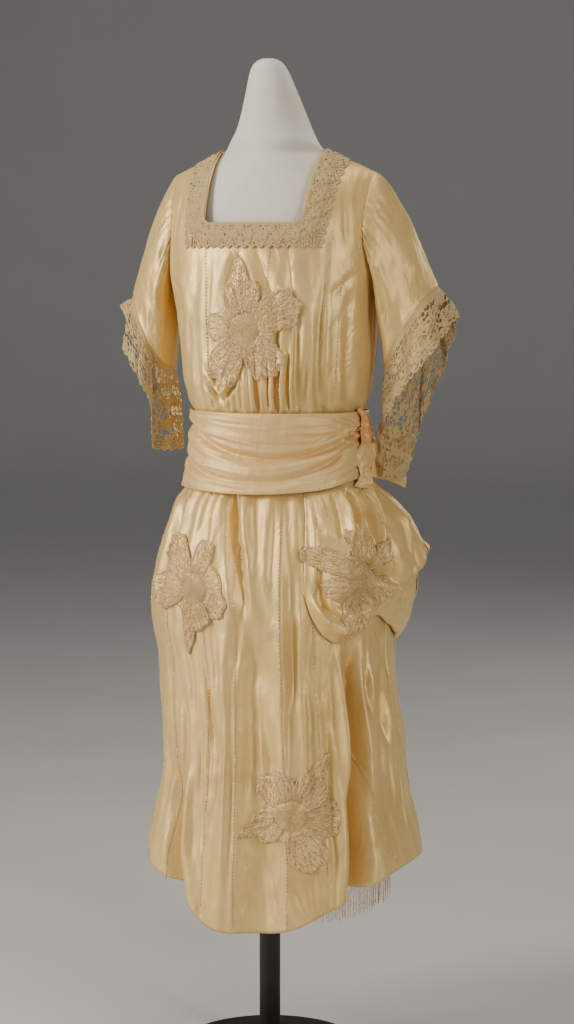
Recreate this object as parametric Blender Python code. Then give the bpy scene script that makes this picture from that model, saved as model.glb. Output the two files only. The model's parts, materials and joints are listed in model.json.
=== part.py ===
# A silk satin wedding dress of about 1920 on a limbless dress form and its pole stand.
# Metres, +Z up. The front faces -Y and the wearer's left is +X. The pole stands on the origin.
# Round the body an angle of 0 degrees is the front, 90 the wearer's left and 180 the back.

import math

import bmesh
import bpy
import numpy as np

# Driving sizes
BODY_Y = 0.025            # the body's middle lies this far behind the pole
SHOULDER_Y = 0.022        # the shoulder seams
WAIST_Z = 0.930           # the waist seam, under the sash
ARMPIT_Z = 1.200
NECK_POINT_Z = 1.380      # where the shoulder seam meets the neckline
NECK_HALF = 0.083         # half the neckline's width at the shoulder seam
NECK_HALF_LOW = 0.076     # and at its lower corners
SHOULDER_HALF = 0.160     # half the width across the shoulder points
SHOULDER_SLOPE = 0.44     # drop of the shoulder seam for each metre across
NECKLINE_FRONT_Z = 1.272
NECKLINE_BACK_Z = 1.335

SATIN = 0.0016            # cloth walls
LACE = 0.0014
SASH_WALL = 0.0026        # folded double
SEAM = 0.00018            # half the gap at a seam
APPLIQUE_LIFT = 0.0006
APPLIQUE = 0.0014

POLE_RADIUS = 0.016
BASE_RADIUS = 0.145
BASE_HEIGHT = 0.012
FORM_BOTTOM_Z = 0.700

SUPER = 2.2               # exponent of the rounded sections

# Sections round the body: half widths to the wearer's right and left, depths to the front and back.
SECTION = ("z", "right", "left", "front", "back")
BODICE = (
    (0.930, 0.119, 0.131, 0.102, 0.102),
    (0.960, 0.116, 0.128, 0.101, 0.099),
    (0.978, 0.1160, 0.1285, 0.1020, 0.0990),
    (0.996, 0.1240, 0.1365, 0.1095, 0.1070),
    (1.012, 0.1300, 0.1430, 0.1145, 0.1090),
    (1.035, 0.1360, 0.1490, 0.1190, 0.1110),
    (1.090, 0.143, 0.155, 0.121, 0.112),
    (1.150, 0.152, 0.158, 0.119, 0.110),
    (1.200, 0.163, 0.165, 0.113, 0.106),
)
SKIRT = (
    (0.930, 0.119, 0.131, 0.102, 0.102),
    (0.900, 0.124, 0.135, 0.107, 0.108),
    (0.876, 0.135, 0.143, 0.117, 0.121),
    (0.858, 0.149, 0.153, 0.126, 0.132),
    (0.830, 0.160, 0.161, 0.134, 0.142),
    (0.800, 0.171, 0.166, 0.141, 0.150),
    (0.730, 0.189, 0.171, 0.150, 0.160),
    (0.690, 0.192, 0.173, 0.151, 0.160),
    (0.620, 0.180, 0.178, 0.150, 0.160),
    (0.550, 0.176, 0.186, 0.152, 0.163),
    (0.490, 0.172, 0.195, 0.154, 0.165),
    (0.450, 0.171, 0.199, 0.156, 0.167),
    (0.400, 0.180, 0.208, 0.158, 0.170),
    (0.360, 0.190, 0.219, 0.161, 0.174),
    (0.320, 0.198, 0.226, 0.165, 0.178),
    (0.220, 0.202, 0.228, 0.170, 0.184),
)
SASH = (
    (0.875, 0.1435, 0.1530, 0.1275, 0.1325),
    (0.905, 0.1385, 0.1490, 0.1215, 0.1240),
    (0.935, 0.1335, 0.1460, 0.1165, 0.1170),
    (0.965, 0.1300, 0.1430, 0.1150, 0.1130),
    (0.995, 0.1295, 0.1420, 0.1150, 0.1125),
)

# The hem's height all round. It dips in front and steps where the pleat opens at the wearer's right.
HEM = (
    ("angle", "z"),
    (-180, 0.300), (-150, 0.304), (-120, 0.318), (-90, 0.328), (-60, 0.316), (-40, 0.296),
    (-24, 0.278), (-18, 0.256), (-12, 0.238), (0, 0.230), (10, 0.230), (19, 0.238),
    (30, 0.257), (45, 0.284), (68, 0.312), (90, 0.324), (120, 0.318), (150, 0.304), (180, 0.300),
)

# Folds of the skirt. Angles and half widths in degrees, depths in metres, outward positive.
# Each fold starts at z_from and ends at z_to with its first and last values.
FOLD = ("z_from", "z_to", "angle_from", "angle_to", "half_from", "half_to", "depth_from", "depth_to")
SKIRT_FOLDS = (
    (0.90, 0.74, -62, -32, 7, 6, -0.010, -0.007),    # shaded fold beside the right hip
    (0.90, 0.70, -10, -1, 7, 5, -0.010, -0.006),     # narrow deep gather left of the middle
    (0.90, 0.72, -18, -9, 6, 5, 0.004, 0.003),
    (0.90, 0.20, 20, 18, 5, 5, 0.003, 0.003),        # standing seam down the middle front
    (0.80, 0.48, 26, 24, 6, 5, -0.007, -0.004),
    (0.70, 0.42, 33, 30, 6, 5, -0.006, -0.004),
    (0.66, 0.20, 61, 46, 7, 9, -0.008, -0.026),      # the deep fold below the hip drape
    (0.66, 0.20, 53, 37, 6, 6, 0.004, 0.009),
    (0.66, 0.40, 75, 60, 7, 8, 0.006, 0.006),
    (0.66, 0.42, 88, 72, 8, 9, -0.013, -0.006),
    (0.48, 0.20, -40, -25, 7, 8, -0.004, -0.026),    # inverted pleat at the wearer's right
    (0.50, 0.20, -30, -16, 6, 6, 0.003, 0.008),
    (0.50, 0.20, -52, -46, 9, 12, 0.003, 0.007),
    (0.62, 0.40, 5, 5, 7, 6, -0.005, -0.004),
    (0.58, 0.42, -8, -9, 6, 6, -0.005, -0.003),
    (0.88, 0.20, -98, -96, 9, 10, -0.008, -0.014),   # hidden side and back, with folds like those in front
    (0.88, 0.20, -122, -124, 9, 10, 0.005, 0.009),
    (0.88, 0.20, -146, -148, 9, 10, -0.009, -0.013),
    (0.88, 0.20, 178, 176, 9, 11, 0.005, 0.009),
    (0.88, 0.20, 154, 152, 8, 10, -0.008, -0.013),
    (0.88, 0.20, 122, 118, 9, 10, -0.006, -0.012),
)
GATHERS = 26              # gathers in the skirt's waist seam
GATHER_DEPTH = 0.0024
BODICE_GATHERS = (-34.0, 62.0, 12.0, 0.0026)         # from and to in degrees, pitch in degrees, depth

# The sash's creases: angle and share of its height, bottom 0 and top 1, with each crease's depth.
SASH_CREASES = (
    (((-175, 0.60), (-80, 0.80), (-45, 0.62), (-20, 0.50), (0, 0.45), (25, 0.48), (50, 0.62), (80, 0.80), (175, 0.60)), -0.0072),
    (((-175, 0.30), (-70, 0.48), (-35, 0.25), (-5, 0.19), (20, 0.26), (50, 0.50), (80, 0.66), (175, 0.30)), -0.0055),
    (((-175, 0.46), (-60, 0.62), (-25, 0.38), (0, 0.32), (25, 0.38), (60, 0.62), (175, 0.46)), 0.0018),
)
SASH_BOTTOM = ((-180, 0.878), (-60, 0.880), (0, 0.876), (40, 0.882), (80, 0.897), (130, 0.890), (180, 0.878))
SASH_TOP_Z = 0.9945
LOOP_PATH = ((0.1533, 0.043, 0.936), (0.168, 0.068, 0.928), (0.178, 0.096, 0.920), (0.183, 0.116, 0.914),
             (0.178, 0.130, 0.912), (0.166, 0.132, 0.914), (0.152, 0.118, 0.920), (0.144, 0.098, 0.926))
# The sash's long end: share down it, its middle's x, its width and its y.
TAIL = ("share", "x", "width", "y")
TAIL_ROWS = (
    (0.00, 0.075, 0.040, 0.1503), (0.06, 0.082, 0.064, 0.178), (0.14, 0.084, 0.098, 0.206), (0.25, 0.078, 0.118, 0.213),
    (0.50, 0.068, 0.132, 0.219), (1.00, 0.058, 0.142, 0.227),
)
TAIL_TOP_Z = 0.892
TAIL_END = ((-0.015, 0.200), (0.040, 0.212), (0.090, 0.236), (0.115, 0.252), (0.131, 0.272))      # x and z of its edge

# The hip drape: the skirt's left side looped up into a pouf. Edges in degrees and metres.
DRAPE_SEAM = 113.0        # between its front and back pieces
DRAPE_LEFT = ((0.0, 33.0), (0.5, 31.5), (1.0, 31.0))     # share down the piece, angle
DRAPE_BOTTOM = ((31, 0.735), (35, 0.700), (41, 0.672), (49, 0.660), (57, 0.667), (68, 0.690),
                (78, 0.694), (90, 0.676), (102, 0.658), (113, 0.650))
# The pouf's lower edge at the side lies over the back's cloth: angle, height, and how far it steps in below.
DRAPE_LAP = ((66, 0.690), (78, 0.704), (90, 0.722), (102, 0.752), (113, 0.772), (126, 0.785), (140, 0.800))
DRAPE_LAP_DEPTH = 0.010
DRAPE_LAP_SOFT = 0.020
DRAPE_BACK_BOTTOM = ((113, 0.650), (128, 0.632), (150, 0.640), (172, 0.690))
DRAPE_BACK_END = 172.0
DRAPE_PUFF = ((28, 0.0), (40, 0.010), (52, 0.028), (66, 0.026), (78, 0.022), (92, 0.036), (106, 0.047),
              (118, 0.049), (135, 0.040), (150, 0.030), (162, 0.016), (172, 0.0))
DRAPE_CLEAR = 0.0019      # between the drape's root and the skirt's gathers
DRAPE_CORNER = (117, 0.782, 12, 0.030, 0.013)        # angle, z, half widths both ways, how far it stands out
DRAPE_FOLDS = (           # angle and its drift down the piece, half width, depth
    (68, -14, 8, -0.007), (80, -4, 7, 0.004), (92, 4, 7, -0.007), (104, 2, 7, 0.004), (56, -14, 7, 0.003),
    (128, 4, 9, -0.006), (140, 4, 8, 0.004), (152, 2, 8, -0.005),
)

# A sleeve's hem, where it leaves the satin: centre and the half axes of its slanting oval.
SLEEVE_HEM = {"left": (0.2105, 0.045, 1.116), "right": (0.2065, 0.043, 1.117)}
SLEEVE_OUTER = (0.035, 0.0155, 0.0620)
SLEEVE_HEAD, SLEEVE_EASE = 0.006, 0.004
SLEEVE_DEPTH = 0.052
SLEEVE_BACK_DROP = 0.030
# The lace's lower edge round the sleeve: angle (0 outer, 90 front, 180 inner, 270 back) and place.
CUFF = ("angle", "x", "y", "z")
CUFF_EDGE = {
    "left": (
        (0, 0.274, 0.066, 1.134), (45, 0.263, -0.002, 1.092), (90, 0.228, -0.026, 1.042),
        (135, 0.194, -0.006, 1.000), (165, 0.172, 0.020, 0.955), (190, 0.166, 0.042, 0.892),
        (215, 0.186, 0.066, 0.886), (240, 0.194, 0.086, 0.915), (270, 0.203, 0.102, 0.962),
        (305, 0.232, 0.106, 1.036), (335, 0.259, 0.094, 1.100), (360, 0.274, 0.066, 1.134),
    ),
    "right": (
        (0, 0.258, 0.060, 1.118), (45, 0.240, 0.000, 1.082), (90, 0.204, -0.024, 1.035),
        (125, 0.190, -0.010, 0.990), (150, 0.196, 0.006, 0.930), (175, 0.172, 0.024, 0.926),
        (200, 0.163, 0.050, 0.928), (230, 0.186, 0.076, 0.942), (260, 0.207, 0.096, 0.975),
        (300, 0.240, 0.108, 1.045), (330, 0.286, 0.100, 1.140), (345, 0.288, 0.086, 1.148), (360, 0.258, 0.060, 1.118),
    ),
}
COLLAR_WIDTH = 0.035      # the lace band below the neckline
COLLAR_LOW_HALF, COLLAR_TOP_HALF = 0.107, 0.123
COLLAR_TOP_Z = 1.390      # above the shoulder seam, where the cut ends
COLLAR_LIFT = 0.0004
SCALLOP = 0.004           # depth of the lace's scallops
SCALLOP_PITCH = 0.022

# The dress form: height, half width, depths to the front and back of its own middle, and that middle's y.
FORM = ("z", "half", "front", "back", "middle")
FORM_SECTIONS = (
    (0.700, 0.095, 0.075, 0.078, 0.024), (0.712, 0.118, 0.092, 0.098, 0.024), (0.750, 0.136, 0.104, 0.114, 0.025),
    (0.810, 0.138, 0.108, 0.118, 0.025), (0.870, 0.124, 0.102, 0.106, 0.025), (0.930, 0.112, 0.094, 0.094, 0.025),
    (0.990, 0.114, 0.096, 0.096, 0.025), (1.050, 0.124, 0.106, 0.100, 0.025), (1.120, 0.138, 0.112, 0.102, 0.025),
    (1.180, 0.148, 0.106, 0.099, 0.024), (1.230, 0.149, 0.097, 0.093, 0.023), (1.280, 0.149, 0.091, 0.082, 0.022),
)
FORM_CLEARANCE = 0.0008
# The form's shoulders: half width, drop below the shoulder line, front, back, and how hollow the section is.
FORM_SHOULDERS = (
    (0.148, 0.026, 0.082, 0.062, 1.9), (0.148, 0.003, 0.074, 0.058, 3.2), (0.130, 0.0, 0.071, 0.056, 3.2),
    (0.110, 0.0, 0.068, 0.054, 3.0), (0.096, 0.0, 0.066, 0.053, 3.0), (0.081, 0.0, 0.064, 0.052, 2.6),
)
NECK = (
    (1.3920, 0.0690, 0.060, 0.051, 0.020), (1.4050, 0.0600, 0.059, 0.050, 0.024), (1.4250, 0.0525, 0.053, 0.047, 0.022),
    (1.4530, 0.0430, 0.043, 0.040, 0.014), (1.4830, 0.0335, 0.033, 0.032, 0.004), (1.5000, 0.0270, 0.026, 0.026, -0.001),
    (1.5090, 0.0200, 0.019, 0.019, -0.003), (1.5130, 0.0100, 0.010, 0.010, -0.003),
)

# Beaded flowers: each lobe's direction in degrees from across, reach, half angle and roundness (1 is pointed).
LOBE = ("direction", "reach", "half", "round")
CHEST_FLOWER = ((99, 0.116, 20, 1.1), (98, 0.080, 32, 2.6), (30, 0.080, 38, 2.6), (172, 0.060, 34, 2.6),
                (-128, 0.092, 30, 2.4), (-58, 0.074, 34, 2.6))
HIP_FLOWER_RIGHT = ((73, 0.084, 30, 2.4), (130, 0.104, 30, 2.4), (184, 0.096, 28, 2.4), (-24, 0.062, 32, 2.6),
                    (-98, 0.098, 20, 1.1), (-84, 0.060, 30, 2.6))
HIP_FLOWER_LEFT = ((88, 0.074, 30, 2.6), (38, 0.086, 24, 1.2), (152, 0.084, 26, 1.3), (200, 0.052, 34, 2.6),
                   (-108, 0.098, 22, 1.1), (-100, 0.066, 34, 2.6), (-30, 0.060, 34, 2.6))
HEM_FLOWER = ((69, 0.106, 18, 1.1), (130, 0.068, 34, 2.6), (70, 0.060, 30, 2.6), (200, 0.096, 20, 1.1),
              (205, 0.056, 34, 2.6), (-79, 0.076, 32, 2.6), (-4, 0.054, 36, 2.6))
FLOWER_CORE = 0.50        # the outline's least radius as a share of the flower's middle reach

# Mesh resolution: columns and rows of each piece
FRONT_MIDDLE, FRONT_STRAP = 12, 5
BACK_MIDDLE, BACK_STRAP = 8, 4
NECK_ROWS, ARMHOLE_ROWS = 5, 8
SKIRT_FRONT_GRID = (36, 13)
SKIRT_BACK_GRID = (26, 11)
SASH_GRID = (36, 9)
SLEEVE_ROWS = 6
CUFF_ROWS = 5
DRAPE_GRID = (18, 9)
DRAPE_BACK_GRID = (12, 8)
TAIL_GRID = (8, 8)

MATERIALS = {             # colour, roughness, metallic, sheen
    "satin": ((0.72, 0.57, 0.37, 1), 0.32, 0.0, 0.3),
    "sash_satin": ((0.74, 0.57, 0.37, 1), 0.30, 0.0, 0.3),
    "lace": ((0.66, 0.53, 0.32, 1), 0.85, 0.0, 0.0),
    "beadwork": ((0.60, 0.47, 0.32, 1), 0.35, 0.1, 0.0),
    "form_cover": ((0.78, 0.74, 0.68, 1), 0.75, 0.0, 0.0),
    "stand_metal": ((0.012, 0.012, 0.012, 1), 0.45, 0.6, 0.0),
}


# General helpers

def column(table, names, name):
    return np.array([row[names.index(name)] for row in table], float)


def smooth(x, xs, ys):
    """A smooth curve through the table's points, with no overshoot."""
    xs, ys = np.asarray(xs, float), np.asarray(ys, float)
    if xs[0] > xs[-1]:
        xs, ys = xs[::-1], ys[::-1]
    x = np.clip(np.asarray(x, float), xs[0], xs[-1])
    step = np.diff(xs)
    slope = np.diff(ys) / step
    tangent = np.zeros(len(xs))
    same_way = slope[1:] * slope[:-1] > 0
    tangent[1:-1] = np.where(same_way, 2 * slope[1:] * slope[:-1] / np.where(same_way, slope[1:] + slope[:-1], 1), 0)
    tangent[0], tangent[-1] = slope[0], slope[-1]
    i = np.clip(np.searchsorted(xs, x, side="right") - 1, 0, len(xs) - 2)
    t = (x - xs[i]) / step[i]
    return (ys[i] * (1 + 2 * t) * (1 - t) ** 2 + tangent[i] * step[i] * t * (1 - t) ** 2
            + ys[i + 1] * t * t * (3 - 2 * t) + tangent[i + 1] * step[i] * t * t * (t - 1))


def pairs(x, table):
    """The same curve for a table of two columns."""
    rows = [row for row in table if not isinstance(row[0], str)]
    return smooth(x, [r[0] for r in rows], [r[1] for r in rows])


def radial(angle):
    angle = np.asarray(angle, float)
    return np.stack([np.sin(angle), -np.cos(angle), np.zeros(angle.shape)], -1)


def section_point(table, angle, z):
    """A point of the rounded section at that height and angle."""
    angle, z = np.broadcast_arrays(np.asarray(angle, float), np.asarray(z, float))
    size = {n: smooth(z, column(table, SECTION, "z"), column(table, SECTION, n)) for n in SECTION[1:]}
    s, c = np.sin(angle), np.cos(angle)
    power = 2 / SUPER
    half = np.where(s >= 0, size["left"], size["right"])
    deep = np.where(c >= 0, size["front"], size["back"])
    return np.stack([half * np.sign(s) * np.abs(s) ** power, BODY_Y - deep * np.sign(c) * np.abs(c) ** power, z], -1)


def bump(distance, half):
    """One at the middle, falling smoothly to nothing at the half width."""
    share = np.clip(np.abs(distance) / half, 0, 1)
    return 0.5 + 0.5 * np.cos(math.pi * share)


def turn_between(a, b):
    """The difference of two angles in degrees, from -180 to 180."""
    return (a - b + 180) % 360 - 180


def grid_normals(grid, closed=False):
    """Outward normals of a grid whose rows run down and whose columns run with the angle."""
    down = np.gradient(grid, axis=0)
    if closed:
        along = np.roll(grid, -1, axis=1) - np.roll(grid, 1, axis=1)
    else:
        along = np.gradient(grid, axis=1)
    normal = np.cross(down, along)
    return normal / np.maximum(np.linalg.norm(normal, axis=-1, keepdims=True), 1e-12)


def onto_seam(normal, across):
    """Turns a seam edge's normals into the seam's own plane, so that neighbours meet without crossing."""
    across = np.asarray(across, float)
    flat = normal - across * np.sum(normal * across, axis=-1, keepdims=True)
    return flat / np.linalg.norm(flat, axis=-1, keepdims=True)


def material(name):
    made = bpy.data.materials.get(name)
    if made is None:
        colour, roughness, metallic, sheen = MATERIALS[name]
        made = bpy.data.materials.new(name)
        made.use_nodes = True
        shader = made.node_tree.nodes["Principled BSDF"]
        shader.inputs["Base Color"].default_value = colour
        shader.inputs["Roughness"].default_value = roughness
        shader.inputs["Metallic"].default_value = metallic
        shader.inputs["Sheen Weight"].default_value = sheen
    return made


def add_mesh(name, points, faces, slot):
    mesh = bpy.data.meshes.new(name)
    mesh.from_pydata([tuple(p) for p in np.asarray(points, float)], [], faces)
    mesh.materials.append(material(slot))
    mesh.shade_smooth()
    thing = bpy.data.objects.new(name, mesh)
    bpy.context.scene.collection.objects.link(thing)
    return thing


def wall(name, outer, inner, slot, closed=False, missing=()):
    """A cloth wall between two grids. Missing cells are cut right through."""
    rows, cols = outer.shape[:2]
    wide = cols if closed else cols - 1
    missing = set(missing)
    kept = [(i, j) for i in range(rows - 1) for j in range(wide) if (i, j) not in missing]
    kept_set = set(kept)
    count = rows * cols
    faces = []
    for i, j in kept:
        k = (j + 1) % cols
        a, b, c, d = i * cols + j, (i + 1) * cols + j, (i + 1) * cols + k, i * cols + k
        faces += [(a, b, c), (a, c, d)]
        faces += [(c + count, b + count, a + count), (d + count, c + count, a + count)]
        left, right = (j - 1) % wide if closed else j - 1, (j + 1) % wide if closed else j + 1
        for p, q, beside in ((a, b, (i, left)), (b, c, (i + 1, j)), (c, d, (i, right)), (d, a, (i - 1, j))):
            if beside not in kept_set:
                faces += [(q, p, p + count), (q, p + count, q + count)]
    points = np.concatenate([outer.reshape(-1, 3), inner.reshape(-1, 3)])
    used = sorted({v for f in faces for v in f})
    place = {v: n for n, v in enumerate(used)}
    return add_mesh(name, points[used], [tuple(place[v] for v in f) for f in faces], slot)


def prism(name, outline, origin, across, up, reach):
    """A hidden cutter: an outline in the plane of across and up, as deep as reach both ways."""
    origin, across, up = (np.array(v, float) for v in (origin, across, up))
    out = np.cross(across, up)
    area = sum(a[0] * b[1] - a[1] * b[0] for a, b in zip(outline, outline[1:] + outline[:1]))
    outline = outline if area > 0 else outline[::-1]
    flat = np.array([origin + across * x + up * y for x, y in outline])
    count = len(outline)
    faces = [tuple(range(count)), tuple(range(2 * count - 1, count - 1, -1))]
    faces += [(j, j + count, (j + 1) % count + count, (j + 1) % count) for j in range(count)]
    cutter = add_mesh(name, np.concatenate([flat + out * reach, flat - out * reach * 0.25]), faces, "beadwork")
    cutter.hide_render = True
    cutter.display_type = "WIRE"
    return cutter


def applied_piece(name, grid, outline, origin, across, up, reach, slot, missing=(), lift=APPLIQUE_LIFT):
    """A thin piece that lies on a panel: the panel's own points moved out, cut to the outline."""
    normal = grid_normals(grid)
    piece = wall(name, grid + normal * (lift + APPLIQUE), grid + normal * lift, slot, missing=missing)
    cutter = prism(name + "_outline", outline, origin, across, up, reach)
    cut = piece.modifiers.new("cut to outline", "BOOLEAN")
    cut.operation = "INTERSECT"
    cut.solver = "EXACT"
    cut.object = cutter
    return piece


def flower_outline(lobes, points=48):
    """A flower of round petals with pointed leaves, as one star-shaped outline."""
    core = FLOWER_CORE * sum(row[1] for row in lobes) / len(lobes)
    outline = []
    for k in range(points):
        angle = 360 * k / points
        radius = core
        for row in lobes:
            lobe = dict(zip(LOBE, row))
            share = min(abs(turn_between(angle, lobe["direction"])) / lobe["half"], 1)
            radius = max(radius, lobe["reach"] * (1 - share ** lobe["round"]) ** (1 / lobe["round"]))
        outline.append((radius * math.cos(math.radians(angle)), radius * math.sin(math.radians(angle))))
    return outline


# The stand and the dress form

def make_stand():
    mesh = bmesh.new()
    bmesh.ops.create_cone(mesh, cap_ends=True, segments=32, radius1=BASE_RADIUS, radius2=BASE_RADIUS, depth=BASE_HEIGHT)
    bmesh.ops.translate(mesh, verts=mesh.verts, vec=(0, 0, BASE_HEIGHT / 2))
    top_edge = [e for e in mesh.edges if all(v.co.z > BASE_HEIGHT * 0.9 for v in e.verts)]
    bmesh.ops.bevel(mesh, geom=top_edge, offset=0.005, segments=2, affect="EDGES", profile=0.5)
    add_bmesh("stand_base", mesh, "stand_metal")
    length = FORM_BOTTOM_Z - BASE_HEIGHT - 2 * SEAM
    mesh = bmesh.new()
    bmesh.ops.create_cone(mesh, cap_ends=True, segments=20, radius1=POLE_RADIUS, radius2=POLE_RADIUS, depth=length)
    bmesh.ops.translate(mesh, verts=mesh.verts, vec=(0, 0, BASE_HEIGHT + SEAM + length / 2))
    add_bmesh("stand_pole", mesh, "stand_metal")


def add_bmesh(name, mesh, slot):
    data = bpy.data.meshes.new(name)
    mesh.to_mesh(data)
    mesh.free()
    data.materials.append(material(slot))
    data.shade_smooth()
    data.set_sharp_from_angle(angle=math.radians(40))
    thing = bpy.data.objects.new(name, data)
    bpy.context.scene.collection.objects.link(thing)
    return thing


def shoulder_height(x):
    """Height of the dress's shoulder seam at that distance from the middle."""
    return NECK_POINT_Z - np.clip(np.abs(x) - NECK_HALF, 0, None) * SHOULDER_SLOPE


def form_rings():
    """Rows of z, half, front, back, middle and power. The shoulders lie just inside the dress's shoulder seams."""
    rows = [row + (1.0,) for row in FORM_SECTIONS]
    for half, drop, front, back, power in FORM_SHOULDERS:
        z = float(shoulder_height(half)) - SATIN - FORM_CLEARANCE - drop
        rows.append((z, half, front, back, SHOULDER_Y, power))
    return rows + [row + (1.0,) for row in NECK]


def make_form():
    segments = 24
    angle = np.radians(np.arange(segments) * 360 / segments)
    rings = []
    for z, half, front, back, middle, power in form_rings():
        c = np.cos(angle)
        deep = np.where(c >= 0, front, back) * np.sign(c) * np.abs(c) ** power
        rings.append(np.stack([half * np.sin(angle), middle - deep, np.full(segments, z)], -1))
    rings = rings[::-1]
    points = np.concatenate(rings)
    faces = []
    for i in range(len(rings) - 1):
        for j in range(segments):
            k = (j + 1) % segments
            faces.append((i * segments + j, (i + 1) * segments + j, (i + 1) * segments + k, i * segments + k))
    last = (len(rings) - 1) * segments
    faces.append(tuple(range(segments)))
    faces.append(tuple(range(last + segments - 1, last - 1, -1)))
    add_mesh("dress_form", points, faces, "form_cover")


# The bodice

def shoulder_surface(x, t, side):
    """The bodice above the armpit: t is 0 at the armpit and 1 at the shoulder seam. side is 1 in front, -1 behind."""
    row = BODICE[-1]
    half = np.where(x >= 0, row[SECTION.index("left")], row[SECTION.index("right")])
    deep = row[SECTION.index("front")] if side > 0 else row[SECTION.index("back")]
    full = BODY_Y - side * deep * (1 - np.clip(np.abs(x) / half, 0, 1) ** SUPER) ** (1 / SUPER)
    rise, fall = np.sin(t * math.pi / 2), np.cos(t * math.pi / 2)
    y = SHOULDER_Y + (full - SHOULDER_Y) * fall ** 1.25
    return np.stack([x, y, ARMPIT_Z + (shoulder_height(x) - ARMPIT_Z) * rise], -1)


def armhole_x(t, side, left):
    """The armhole's edge: in from the armpit, then out to the shoulder point."""
    armpit = BODICE[-1][SECTION.index("left" if left else "right")]
    scoop = 0.152 if side > 0 else 0.154
    return smooth(t, (0, 0.3, 0.6, 1.0), (armpit, scoop, scoop + 0.003, SHOULDER_HALF))


def bodice_folds(angle_deg, z):
    """Gathers above the sash in the middle front, and softer ones behind."""
    first, last, pitch, depth = BODICE_GATHERS
    here = np.clip((angle_deg - first) / 12, 0, 1) * np.clip((last - angle_deg) / 12, 0, 1)
    level = smooth(z, (0.930, 0.995, 1.040, 1.140, 1.200), (0.4, 0.9, 1.0, 0.25, 0.0))
    return depth * here * level * np.cos(2 * math.pi * (angle_deg - first) / pitch)


def bodice_grid(side, middle, strap, neckline_z):
    """The panel's points with rows down from the shoulder seam, and the cells that the neckline leaves out."""
    row = BODICE[-1]
    neck_t = math.asin((neckline_z - ARMPIT_Z) / (NECK_POINT_Z - ARMPIT_Z)) * 2 / math.pi
    below_neck = np.linspace(neck_t, 0, ARMHOLE_ROWS - NECK_ROWS + 1)
    above = np.concatenate([np.linspace(1, neck_t, NECK_ROWS + 1), below_neck[1:]])
    lower = np.linspace(ARMPIT_Z, WAIST_Z, 9)[1:]
    rows = []
    for t in above:
        xs = []
        for left in (False, True):
            half = row[SECTION.index("left" if left else "right")]
            neck = NECK_HALF_LOW + (NECK_HALF - NECK_HALF_LOW) * max((t - neck_t) / (1 - neck_t), 0)
            neck_angle = math.asin((NECK_HALF_LOW / half) ** (SUPER / 2))
            angles = np.linspace(neck_angle, math.pi / 2, strap + 1)
            share = (half * np.sin(angles) ** (2 / SUPER) - NECK_HALF_LOW) / (half - NECK_HALF_LOW)
            outer = neck + (float(armhole_x(t, side, left)) - neck) * share
            xs.append(outer if left else -outer[::-1])
        x = np.concatenate([xs[0], np.linspace(-neck, neck, middle + 1)[1:-1], xs[1]])
        rows.append(shoulder_surface(x, np.full(len(x), t), side))
    x0 = rows[-1][:, 0]
    half = np.where(x0 >= 0, row[SECTION.index("left")], row[SECTION.index("right")])
    angle = np.arcsin(np.clip(np.sign(x0) * (np.abs(x0) / half) ** (SUPER / 2), -1, 1))
    if side < 0:
        angle = np.where(angle >= 0, math.pi - angle, -math.pi - angle)
    for z in lower:
        points = section_point(BODICE, angle, z)
        rows.append(points + radial(angle) * bodice_folds(np.degrees(angle), z)[:, None])
    grid = np.array(rows)
    missing = [(i, j) for i in range(NECK_ROWS) for j in range(strap, strap + middle)]
    if side < 0:
        grid = grid[:, ::-1]
    return grid, missing


def trimmed(grid):
    """Pulls the first and last rows and columns in by the seam gap."""
    grid = grid.copy()
    for first, second in ((0, 1), (-1, -2)):
        step = grid[second] - grid[first]
        grid[first] += step / np.linalg.norm(step, axis=-1, keepdims=True) * SEAM
        step = grid[:, second] - grid[:, first]
        grid[:, first] += step / np.linalg.norm(step, axis=-1, keepdims=True) * SEAM
    return grid


def make_bodice():
    front, front_gap = bodice_grid(1, FRONT_MIDDLE, FRONT_STRAP, NECKLINE_FRONT_Z)
    back, back_gap = bodice_grid(-1, BACK_MIDDLE, BACK_STRAP, NECKLINE_BACK_Z)
    front, back = trimmed(front), trimmed(back)
    for name, grid, gap in (("bodice_front", front, front_gap), ("bodice_back", back, back_gap)):
        normal = grid_normals(grid)
        normal[0] = onto_seam(normal[0], (0, 1, 0))
        normal[-1] = onto_seam(normal[-1], (0, 0, 1))
        for edge in (0, -1):
            normal[ARMHOLE_ROWS:, edge] = onto_seam(normal[ARMHOLE_ROWS:, edge], (0, 1, 0))
        wall(name, grid, grid - normal * SATIN, "satin", missing=gap)
    return front, front_gap, back, back_gap


# The lace collar, the beaded flowers

def collar_outline(low_half, top_half, bottom, top):
    """A band round the neckline with scallops on its outer side."""
    side, across = round((top - bottom) / SCALLOP_PITCH), round(2 * low_half / SCALLOP_PITCH)
    wave = [SCALLOP * abs(math.sin(math.pi * k / 3)) for k in range(3)]
    right = []
    for k in range(side * 3):
        share = k / (side * 3)
        right.append((top_half + (low_half - top_half) * share + wave[k % 3], top + (bottom - top) * share))
    under = [(low_half - 2 * low_half * k / (across * 3), bottom - wave[k % 3]) for k in range(across * 3 + 1)]
    return right + under + [(-x, z) for x, z in right[::-1]]


def make_collar(front, front_gap, back, back_gap):
    for name, grid, gap, facing, edge in (("collar_front", front, front_gap, 1, NECKLINE_FRONT_Z),
                                          ("collar_back", back, back_gap, -1, NECKLINE_BACK_Z)):
        outline = collar_outline(COLLAR_LOW_HALF, COLLAR_TOP_HALF, edge - COLLAR_WIDTH, COLLAR_TOP_Z)
        applied_piece(name, grid, outline, (0, 0, 0), (facing, 0, 0), (0, 0, 1), 0.30, "lace", missing=gap,
                      lift=COLLAR_LIFT)


def make_flower(name, design, grid, place, across, reach=0.12, missing=()):
    applied_piece(name, grid, flower_outline(design), place, across, (0, 0, 1), reach, "beadwork", missing=missing)


# The skirt

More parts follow.
